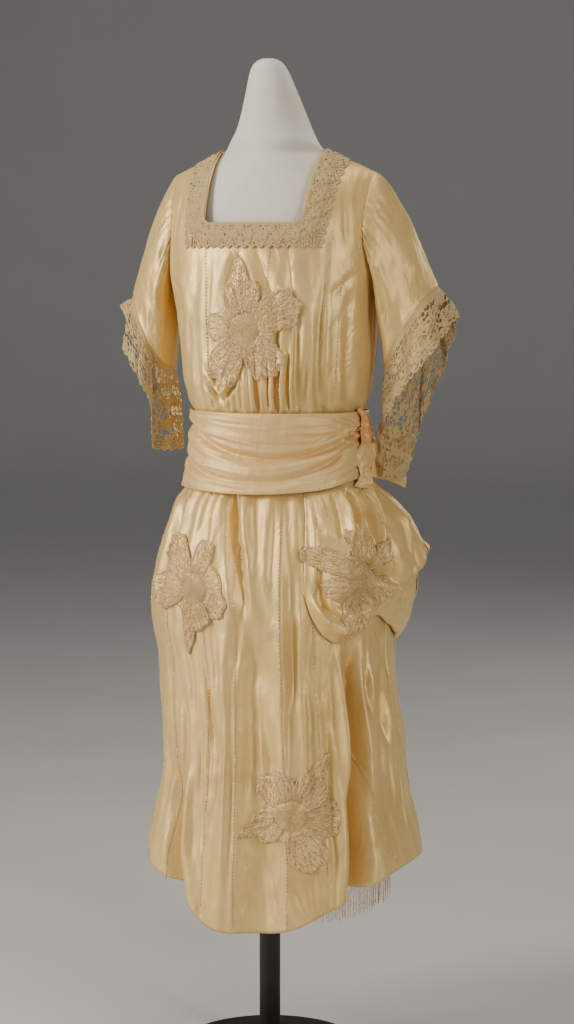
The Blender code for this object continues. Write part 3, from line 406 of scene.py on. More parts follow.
def ridges(nodes, links, vector, scale, twist):
    # noise with crisp ridges, for creased cloth and thread
    tex = nodes.new("ShaderNodeTexNoise")
    tex.noise_type = "RIDGED_MULTIFRACTAL"
    tex.inputs["Scale"].default_value = scale
    tex.inputs["Detail"].default_value = 2
    tex.inputs["Distortion"].default_value = twist
    links.new(vector, tex.inputs["Vector"])
    return tex.outputs["Fac"]


def mapTo(nodes, links, value, low, high, toLow, toHigh):
    node = nodes.new("ShaderNodeMapRange")
    for name, number in (("From Min", low), ("From Max", high), ("To Min", toLow), ("To Max", toHigh)):
        node.inputs[name].default_value = number
    links.new(value, node.inputs["Value"])
    return node.outputs["Result"]


def mixColour(nodes, links, factor, first, second):
    mix = nodes.new("ShaderNodeMix")
    mix.data_type = "RGBA"
    links.new(factor, mix.inputs[0])
    for socket, value in ((mix.inputs[6], first), (mix.inputs[7], second)):
        if isinstance(value, tuple):
            socket.default_value = value
        else:
            links.new(value, socket)
    return mix.outputs[2]


def bumpStack(nodes, links, layers, shader):
    # each layer is height, strength and depth in metres
    last = None
    for height, strength, depth in layers:
        node = nodes.new("ShaderNodeBump")
        node.inputs["Strength"].default_value = strength
        node.inputs["Distance"].default_value = depth
        links.new(height, node.inputs["Height"])
        if last is not None:
            links.new(last, node.inputs["Normal"])
        last = node.outputs["Normal"]
    links.new(last, shader.inputs["Normal"])


def darker(colour, share):
    return tuple(share * c for c in colour[:3]) + (1,)


def finish(nodes, links, shader, colour, rough, layers):
    links.new(colour, shader.inputs["Base Color"])
    links.new(rough, shader.inputs["Roughness"])
    bumpStack(nodes, links, layers, shader)


def satinMaterial(name, light, dark, rough, metal):
    mat, nodes, links, shader = newMaterial(name)
    slub = noise(nodes, links, coords(nodes, links, "UV", (40, 1400, 1)), 1.0, 3)
    warp = noise(nodes, links, coords(nodes, links, "UV", (2600, 90, 1)), 1.0, 2)
    crumple = noise(nodes, links, coords(nodes, links, "UV", (48, 20, 1)), 1.0, 5)
    folded = ridges(nodes, links, coords(nodes, links, "UV", (24, 9, 1)), 1.0, 0.7)
    pressed = ridges(nodes, links, coords(nodes, links, "UV", (66, 38, 1)), 1.0, 0.9)
    age = noise(nodes, links, coords(nodes, links, "UV", (1, 1, 1)), 7, 5)
    tone = mixColour(nodes, links, mapTo(nodes, links, age, 0.35, 0.68, 0, 1), light, dark)
    fleck = mapTo(nodes, links, slub, 0.62, 0.80, 0, 0.28)
    shader.inputs["Metallic"].default_value = metal
    shader.inputs["Sheen Weight"].default_value = 0.12
    shader.inputs["Sheen Roughness"].default_value = 0.4
    shader.inputs["Sheen Tint"].default_value = (1, 0.93, 0.8, 1)
    finish(nodes, links, shader, mixColour(nodes, links, fleck, tone, darker(dark, 0.8)),
           mapTo(nodes, links, crumple, 0.3, 0.7, rough - 0.05, rough + 0.07),
           [(folded, 0.50, 0.0027), (pressed, 0.45, 0.0015), (crumple, 0.50, 0.0028),
            (slub, 0.14, 0.0004), (warp, 0.08, 0.0003)])
    return mat


def laceMaterial(name, light, dark):
    mat, nodes, links, shader = newMaterial(name)
    place = coords(nodes, links, "Object", (1, 1, 1))
    thread = ridges(nodes, links, place, 330, 0.8)
    twist = noise(nodes, links, place, 1600, 2)
    patchy = noise(nodes, links, place, 60, 3)
    tone = mixColour(nodes, links, mapTo(nodes, links, patchy, 0.3, 0.7, 0, 1), light, dark)
    # darker between the threads, where the thread bump is low: painted shade
    gap = mapTo(nodes, links, thread, 0.25, 0.75, 0.62, 0)
    shader.inputs["Sheen Weight"].default_value = 0.12
    finish(nodes, links, shader, mixColour(nodes, links, gap, tone, darker(dark, 0.42)),
           mapTo(nodes, links, twist, 0.3, 0.7, 0.7, 0.92),
           [(patchy, 0.2, 0.001), (thread, 0.9, 0.0012), (twist, 0.35, 0.0004)])
    return mat


def groundMaterial(name, light, dark):
    # close rows of thread and glass running out along each petal, read from the petal's own uv
    mat, nodes, links, shader = newMaterial(name)
    rows = noise(nodes, links, coords(nodes, links, "UV", (640, 90, 1)), 1.0, 2)
    glint = noise(nodes, links, coords(nodes, links, "UV", (700, 330, 1)), 1.0, 1)
    shader.inputs["Metallic"].default_value = 0.25
    # the dark colour lies in the grooves between the rows, where the bump is low: painted shade
    finish(nodes, links, shader,
           mixColour(nodes, links, mapTo(nodes, links, rows, 0.36, 0.60, 1, 0), light, dark),
           mapTo(nodes, links, glint, 0.4, 0.66, 0.55, 0.22), [(rows, 0.9, 0.0014), (glint, 0.6, 0.0008)])
    return mat


def beadMaterial(name, dull, glintColour, rough):
    mat, nodes, links, shader = newMaterial(name)
    tone = nodes.new("ShaderNodeAttribute")
    tone.attribute_name = "tone"
    grain = noise(nodes, links, coords(nodes, links, "Object", (1, 1, 1)), 700, 2)
    # beads high in their random tone are mixed towards the pale second colour, a painted glint standing in
    # for sparkle
    share = mapTo(nodes, links, tone.outputs["Fac"], 0.55, 1.0, 0, 1)
    colour = mixColour(nodes, links, share, dull, glintColour)
    # darker where the fine grain bump is low: painted shade in its hollows
    gap = mapTo(nodes, links, grain, 0.3, 0.6, 0.35, 0)
    shader.inputs["Coat Weight"].default_value = 0.3
    finish(nodes, links, shader, mixColour(nodes, links, gap, colour, darker(dull, 0.5)),
           mapTo(nodes, links, grain, 0.3, 0.7, rough, rough + 0.15), [(grain, 0.2, 0.0003)])
    return mat


def coverMaterial():
    mat, nodes, links, shader = newMaterial("formCover")
    jersey = noise(nodes, links, coords(nodes, links, "Object", (1600, 1600, 700)), 1.0, 2)
    worn = noise(nodes, links, coords(nodes, links, "Object", (1, 1, 1)), 14, 4)
    share = mapTo(nodes, links, worn, 0.35, 0.7, 0, 1)
    shader.inputs["Sheen Weight"].default_value = 0.1
    finish(nodes, links, shader, mixColour(nodes, links, share, (0.76, 0.72, 0.65, 1), (0.68, 0.63, 0.55, 1)),
           mapTo(nodes, links, worn, 0.3, 0.7, 0.7, 0.85), [(worn, 0.15, 0.002), (jersey, 0.25, 0.0004)])
    return mat


def metalMaterial():
    mat, nodes, links, shader = newMaterial("standMetal")
    place = coords(nodes, links, "Object", (1, 1, 1))
    worn = noise(nodes, links, place, 40, 5)
    grit = noise(nodes, links, place, 900, 2)
    share = mapTo(nodes, links, worn, 0.5, 0.8, 0, 1)
    finish(nodes, links, shader,
           mixColour(nodes, links, share, (0.006, 0.006, 0.006, 1), (0.016, 0.015, 0.014, 1)),
           mapTo(nodes, links, worn, 0.3, 0.7, 0.42, 0.6), [(grit, 0.12, 0.0003)])
    return mat


satin = satinMaterial("creamSatin", (0.88, 0.630, 0.250, 1), (0.73, 0.495, 0.175, 1), 0.44, 0.40)
sashSatin = satinMaterial("sashSatin", (0.86, 0.595, 0.250, 1), (0.76, 0.500, 0.190, 1), 0.50, 0.30)
# the sash's reverse: a darker, more orange copy of the sash satin, painted shade on its inner and turned-over
# faces
shadedSashReverse = satinMaterial("sashReverse", (0.84, 0.450, 0.160, 1), (0.74, 0.370, 0.115, 1), 0.5, 0.25)
# lace thread: the material paints shade between the threads
cotton = laceMaterial("laceThread", (0.90, 0.670, 0.330, 1), (0.76, 0.530, 0.230, 1))
# taupe beads: the second, pale colour is a painted glint
glass = beadMaterial("taupeBeads", (0.76, 0.500, 0.205, 1), (0.98, 0.80, 0.48, 1), 0.20)
# beaded ground: the second, dark colour is painted shade in the grooves
beadGround = groundMaterial("beadedGround", (0.90, 0.640, 0.290, 1), (0.46, 0.290, 0.105, 1))
# clear beads: the second, pale colour is a painted glint
clear = beadMaterial("clearBeads", (0.74, 0.50, 0.22, 1), (0.98, 0.90, 0.72, 1), 0.16)
# stitch thread: the same material, with painted shade between the threads
thread = laceMaterial("silkThread", (0.66, 0.50, 0.30, 1), (0.56, 0.41, 0.23, 1))
cover = coverMaterial()
metal = metalMaterial()


def dress(piece, node):
    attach(piece, "root")
    if node:
        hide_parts(node)


# bodice
bodice = {
    "sections": [
        (0.930, 0.119, 0.131, 0.102, 0.102), (0.960, 0.116, 0.128, 0.101, 0.099),
        (0.978, 0.1160, 0.1285, 0.1020, 0.0990), (0.996, 0.1240, 0.1365, 0.1095, 0.1070),
        (1.012, 0.1300, 0.1430, 0.1145, 0.1090), (1.035, 0.1360, 0.1490, 0.1190, 0.1110),
        (1.090, 0.143, 0.155, 0.121, 0.112), (1.150, 0.152, 0.158, 0.119, 0.110),
        (1.200, 0.163, 0.165, 0.113, 0.106),
    ],
    "armpit": 1.200, "waist": 0.930, "shoulderY": 0.022, "neckZ": 1.380, "neckHalf": 0.083, "neckLow": 0.076,
    "shoulderHalf": 0.160, "slope": 0.44, "frontNeck": 1.272, "backNeck": 1.335, "wall": 0.0012,
    # armhole, front and back, and unevenness below and all over
    "scoop": {1: 0.152, -1: 0.154}, "uneven": (0.0015, 5), "crumple": (0.0013, 6, 0.030, 0.060),
    # gathers above the sash: angle, half width, depth, top
    "gathers": [
        (-62, 6, -0.0016, 1.06), (-47, 5, 0.0020, 1.05), (-36, 4, -0.0024, 1.10), (-28, 3.5, 0.0022, 1.09),
        (-20, 3, -0.0030, 1.12), (-13, 3, 0.0024, 1.08), (-7, 2.6, -0.0032, 1.13), (-1, 2.6, 0.0026, 1.09),
        (5, 2.6, -0.0034, 1.12), (11, 2.6, 0.0026, 1.07), (17, 2.8, -0.0032, 1.13), (24, 3, 0.0024, 1.08),
        (31, 3, -0.0030, 1.11), (38, 3.4, 0.0022, 1.06), (47, 4, -0.0030, 1.12), (56, 4, 0.0022, 1.07),
        (66, 5, -0.0020, 1.08), (104, 7, -0.0020, 1.08), (128, 6, 0.0020, 1.06), (146, 5, -0.0024, 1.09),
        (162, 4, 0.0022, 1.06), (175, 4, -0.0026, 1.10), (-172, 4, 0.0022, 1.07), (-160, 5, -0.0024, 1.09),
        (-144, 6, 0.0020, 1.06), (-120, 7, -0.0020, 1.08), (-96, 7, 0.0018, 1.05),
    ],
    # creases seen square on: x, z, x, z, width, depth
    "frontCreases": [
        (-0.066, 1.036, -0.041, 1.009, 0.0032, -0.0060), (-0.041, 1.009, -0.016, 1.040, 0.0032, -0.0060),
        (-0.066, 1.050, -0.040, 1.022, 0.0036, 0.0050), (-0.040, 1.022, -0.018, 1.052, 0.0036, 0.0050),
        (-0.070, 1.064, -0.042, 1.038, 0.0036, -0.0040), (0.014, 0.995, 0.013, 1.090, 0.0028, -0.0060),
        (0.024, 0.995, 0.026, 1.070, 0.0024, 0.0044), (0.031, 0.995, 0.034, 1.078, 0.0030, -0.0090),
        (0.043, 0.995, 0.048, 1.130, 0.0034, -0.0095), (0.052, 0.995, 0.055, 1.060, 0.0024, 0.0040),
        (0.060, 0.995, 0.063, 1.080, 0.0030, -0.0080), (0.072, 0.995, 0.078, 1.130, 0.0034, -0.0085),
        (0.083, 0.995, 0.087, 1.070, 0.0026, -0.0044), (0.100, 0.995, 0.106, 1.150, 0.0040, -0.0080),
        (0.105, 1.010, 0.112, 1.240, 0.0034, -0.0034), (0.133, 0.998, 0.141, 1.170, 0.0042, -0.0050),
        (0.120, 1.000, 0.126, 1.100, 0.0030, -0.0022), (-0.108, 1.000, -0.097, 1.170, 0.0040, -0.0026),
        (-0.128, 1.010, -0.118, 1.150, 0.0040, -0.0028), (-0.085, 1.000, -0.082, 1.090, 0.0030, -0.0022),
        (-0.030, 0.995, -0.028, 1.050, 0.0025, -0.0024), (-0.010, 0.995, -0.009, 1.045, 0.0025, -0.0024),
        (0.003, 0.995, 0.003, 1.060, 0.0022, -0.0022), (0.150, 1.200, 0.118, 1.165, 0.0045, -0.0028),
        (0.152, 1.170, 0.125, 1.125, 0.0045, -0.0024), (-0.150, 1.200, -0.120, 1.170, 0.0045, -0.0026),
        (0.128, 1.320, 0.137, 1.240, 0.0040, -0.0022), (-0.130, 1.310, -0.138, 1.240, 0.0040, -0.0022),
        (0.012, 1.232, 0.046, 1.150, 0.0070, -0.0040), (0.060, 1.236, 0.078, 1.080, 0.0060, -0.0036),
        (-0.060, 1.220, -0.068, 1.060, 0.0050, -0.0018), (-0.012, 1.232, -0.034, 1.180, 0.0060, -0.0034),
        (0.088, 1.225, 0.094, 1.100, 0.0050, 0.0016), (-0.086, 1.230, -0.090, 1.110, 0.0050, -0.0018),
    ],
    "backCreases": [
        (-0.100, 1.000, -0.090, 1.180, 0.0050, -0.0026), (-0.060, 0.995, -0.058, 1.120, 0.0040, -0.0028),
        (-0.030, 0.995, -0.032, 1.080, 0.0030, -0.0026), (0.004, 0.995, 0.002, 1.130, 0.0035, -0.0026),
        (0.034, 0.995, 0.036, 1.070, 0.0030, -0.0026), (0.070, 0.995, 0.064, 1.150, 0.0045, -0.0030),
        (0.112, 1.000, 0.100, 1.180, 0.0045, -0.0028), (0.146, 1.200, 0.110, 1.160, 0.0050, -0.0026),
        (-0.148, 1.200, -0.112, 1.165, 0.0050, -0.0026), (0.128, 1.310, 0.136, 1.230, 0.0040, -0.0020),
        (-0.128, 1.310, -0.136, 1.230, 0.0040, -0.0020), (-0.040, 1.290, 0.040, 1.280, 0.0070, -0.0014),
    ],
}


def shoulderHeight(x):
    return bodice["neckZ"] - np.clip(np.abs(x) - bodice["neckHalf"], 0, None) * bodice["slope"]


def chestPoint(x, t, side):
    # above the armpit, t runs from the armpit to the shoulder seam
    row = bodice["sections"][-1]
    power = body["roundness"]
    half = np.where(x >= 0, row[2], row[1])
    deep = row[3] if side > 0 else row[4]
    full = body["middleY"] - side * deep * (1 - np.clip(np.abs(x) / half, 0, 1) ** power) ** (1 / power)
    y = bodice["shoulderY"] + (full - bodice["shoulderY"]) * np.cos(t * math.pi / 2) ** 1.25
    z = bodice["armpit"] + (shoulderHeight(x) - bodice["armpit"]) * np.sin(t * math.pi / 2)
    return np.stack([x, y, z], -1)


def bodiceFolds(degrees, z):
    total = 0 * (degrees + z)
    for angle, half, depth, top in bodice["gathers"]:
        level = smoothCurve(z, (0.930, 0.995, 1.025, top, top + 0.03), (0.3, 0.9, 1.0, 0.12, 0.0))
        drift = (z - 1.0) * (angle * 0.35)
        total = total + depth * level * bump(turnBetween(degrees, angle + drift), half * (1 + (z - 1.0) * 3))
    return total


def chestShare(z):
    # chestPoint's t at this height of the middle
    return math.asin((z - bodice["armpit"]) / (bodice["neckZ"] - bodice["armpit"])) * 2 / math.pi


def chestRow(t, neckT, side, middle, strap):
    # one row across the chest above the armpit: strap, neck, strap
    row = bodice["sections"][-1]
    power = body["roundness"] / 2
    low, scoop = bodice["neckLow"], bodice["scoop"][side]
    neck = low + (bodice["neckHalf"] - low) * max((t - neckT) / (1 - neckT), 0)
    straps = []
    for half in row[1:3]:
        angles = np.linspace(math.asin((low / half) ** power), math.pi / 2, strap + 1)
        share = (half * np.sin(angles) ** (1 / power) - low) / (half - low)
        armhole = smoothCurve(t, (0, 0.3, 0.6, 1.0), (half, scoop, scoop + 0.003, bodice["shoulderHalf"]))
        straps.append(neck + (float(armhole) - neck) * share)
    return np.concatenate([-straps[0][::-1], np.linspace(-neck, neck, middle + 1)[1:-1], straps[1]])


def bodiceGrid(side, middle, strap, neckline, rows):
    row = bodice["sections"][-1]
    neckRows, chestRows, lowRows = rows
    neckT = chestShare(neckline)
    above = np.concatenate([np.linspace(1, neckT, neckRows + 1), np.linspace(neckT, 0, chestRows + 1)[1:]])
    out = []
    for t in above:
        x = chestRow(t, neckT, side, middle, strap)
        out.append(chestPoint(x, np.full(len(x), t), side))
    x = out[-1][:, 0]
    half = np.where(x >= 0, row[2], row[1])
    angle = np.arcsin(np.clip(np.sign(x) * (np.abs(x) / half) ** (body["roundness"] / 2), -1, 1))
    if side < 0:
        angle = np.where(angle >= 0, math.pi - angle, -math.pi - angle)
    for z in np.linspace(bodice["armpit"], bodice["waist"], lowRows + 1)[1:]:
        out.append(bodicePoint(angle, np.full(len(angle), z)))
    grid = np.array(out)
    x, z = grid[..., 0], grid[..., 2]
    # the creases fade out at the seams
    hold = np.clip((z - 0.985) / 0.02, 0, 1) * np.clip((0.151 - np.abs(x)) / 0.012, 0.25, 1)
    hold = hold * np.clip((bodice["neckZ"] - z) / 0.02, 0, 1)
    creases = bodice["frontCreases"] if side > 0 else bodice["backCreases"]
    push = creaseLines(creases, x, z) + crinkle(x, z, *bodice["crumple"])
    grid = grid + gridNormals(grid) * (side * push * hold)[..., None]
    missing = np.zeros((len(grid) - 1, grid.shape[1] - 1), bool)
    missing[:neckRows, strap:strap + middle] = True
    if side < 0:
        grid, missing = grid[:, ::-1], missing[:, ::-1]
    return grid, missing, neckRows + chestRows


def bodicePoint(angle, z):
    # below the armpit
    fade = np.clip((bodice["armpit"] - z) / 0.03, 0, 1)
    push = bodiceFolds(np.degrees(angle), z) + crinkle(angle * 0.15, z, *bodice["uneven"]) * fade
    return sectionPoint(bodice["sections"], angle, z) + radial(angle) * push[:, None]


def makeBodice():
    front, frontGap, armRows = bodiceGrid(1, 84, 32, bodice["frontNeck"], (34, 24, 104))
    back, backGap, _ = bodiceGrid(-1, 50, 24, bodice["backNeck"], (30, 18, 70))
    for name, node, grid, gap in (("bodiceFront", "bodice_front", front, frontGap),
                                  ("bodiceBack", "bodice_back", back, backGap)):
        piece = thicken(gridMesh(name, grid, [satin], missing=gap), bodice["wall"])
        dress(piece, node)
    print("bodice made")
    return front, back, armRows


# collar of lace on the bodice
collar = {
    "width": 0.035, "lowHalf": 0.107, "topHalf": 0.123, "innerLow": 0.0765, "innerTop": 0.0835,
    "corner": 0.012, "lift": 0.0008, "wall": 0.0010, "scallop": 0.0046, "pitch": 0.0125,
    # the grid it is cut from, its plain edges, and the lace's own pitch, rosette, row, cell, bar and seed
    "half": 0.130, "reach": 0.043, "grid": (188, 116), "tape": 0.0042, "border": 0.0028,
    "lace": (0.0235, 0.0086, 0.035, 0.0040, 0.0022, 4),
}


def netWork(u, v, cell, seed):
    # distance to the nearest bar of an uneven net
    field = np.random.default_rng(seed).uniform(-0.30, 0.30, (2, 64, 64))
    x, y = u / cell, v / cell
    i, j = np.floor(x).astype(int), np.floor(y).astype(int)
    far = []
    for di in (-1, 0, 1):
        for dj in (-1, 0, 1):
            a, b = (i + di) % 64, (j + dj) % 64
            far.append(np.hypot(x - i - di - 0.5 - field[0, a, b], y - j - dj - 0.5 - field[1, a, b]))
    far = np.sort(np.stack(far), axis=0)
    return (far[1] - far[0]) * cell * 0.6


def laceWork(s, t, pitch, rosette, rowHeight, cell, bar, seed):
    # s runs along the lace and t across it: rosettes in a scrolling cord, leaves between, over netting
    row = np.floor(t / rowHeight)
    shift = np.mod(row, 2) * 0.5
    at = np.round(s / pitch - shift)
    du, dv = s - (at + shift) * pitch, t - (row + 0.5) * rowHeight
    r, a = np.hypot(du, dv), np.arctan2(dv, du)
    flower = rosette * (0.86 + 0.14 * np.cos(6 * a + at)) - r
    eye = r - rosette * 0.16
    worked = np.minimum(flower, eye)
    scroll = (row + 0.5) * rowHeight + rowHeight * 0.36 * np.cos(2 * math.pi * (s / pitch - shift))
    cord = bar * 0.75 - np.abs(t - scroll) * 0.72
    dl, dw = np.abs(np.abs(du) - pitch / 2), np.abs(dv) - rowHeight * 0.16
    leaf = rosette * 0.62 - np.hypot(dl * 1.15 + 0.25 * dw, dw * 1.7 - 0.2 * dl)
    net = bar / 2 - netWork(s, t, cell, seed)
    keep = np.maximum(np.maximum(worked, cord), np.maximum(leaf, net))
    ring = 0.5 + 0.5 * np.cos(2 * math.pi * r / (rosette * 0.5))
    petal = 0.5 + 0.5 * np.cos(6 * a + at)
    relief = np.where(worked > 0, 0.0006 + 0.0014 * ring * petal + 0.0006 * np.exp(-(eye / 0.001) ** 2), 0.0)
    relief = np.maximum(relief, np.where(cord > 0, 0.0013, 0.0))
    vein = 0.0005 + 0.0003 * np.cos(2 * math.pi * leaf / 0.0028)
    return keep, np.maximum(relief, np.where(leaf > 0, vein, 0.0))


def neckField(x, z, edge):
    # above zero between the neckline and the collar's scalloped edge
    top = bodice["neckZ"]
    share = np.clip((z - edge) / (top - edge), 0, 1.2)
    innerHalf = collar["innerLow"] + (collar["innerTop"] - collar["innerLow"]) * share
    dx, dz = np.abs(x) - innerHalf, edge - z
    turn = collar["corner"]
    inner = np.where((dx > -turn) & (dz > -turn), np.hypot(dx + turn, dz + turn) - turn, np.maximum(dx, dz))
    share = np.clip((z - edge + collar["width"]) / 0.15, 0, 1)
    outHalf = collar["lowHalf"] + (collar["topHalf"] - collar["lowHalf"]) * share
    scallop, pitch = collar["scallop"], collar["pitch"]
    side = outHalf + scallop * (np.abs(np.sin(math.pi * z / pitch)) - 0.4) - np.abs(x)
    low = z - (edge - collar["width"]) + scallop * (np.abs(np.sin(math.pi * x / pitch)) - 0.4)
    return inner, np.minimum(side, low)


def makeCollar():
    for name, node, side, edge in (("collarFront", "collar_front", 1, bodice["frontNeck"]),
                                   ("collarBack", "collar_back", -1, bodice["backNeck"])):
        low = chestShare(edge - collar["reach"])
        cols, rows = collar["grid"]
        across = np.linspace(-collar["half"], collar["half"], cols)
        x, t = np.meshgrid(across, np.linspace(1, low, int(rows * (1 - low) / 0.8)))
        grid = chestPoint(x, t, side)
        z = grid[..., 2]
        inner, outer = neckField(x, z, edge)
        along = np.where(edge - z > np.abs(x) - collar["innerLow"], x, z + 0.007)
        keep, relief = laceWork(along, np.clip(inner, 0, 0.034), *collar["lace"])
        tape, border = collar["tape"] - inner, collar["border"] - outer
        keep = np.maximum(keep, np.maximum(tape, border))
        relief = np.where(tape > 0, 0.0006, relief) + np.where(border > 0, 0.0004, 0)
        field = np.minimum(np.minimum(inner, outer), keep)
        normal = gridNormals(grid) * side
        grid = grid + normal * (collar["lift"] + collar["wall"] + relief)[..., None]
        if side < 0:
            grid, field = grid[:, ::-1], field[:, ::-1]
        piece = thicken(clipMesh(name, grid, field, [cotton]), collar["wall"], even=False)
        dress(piece, node)
    print("collar made")


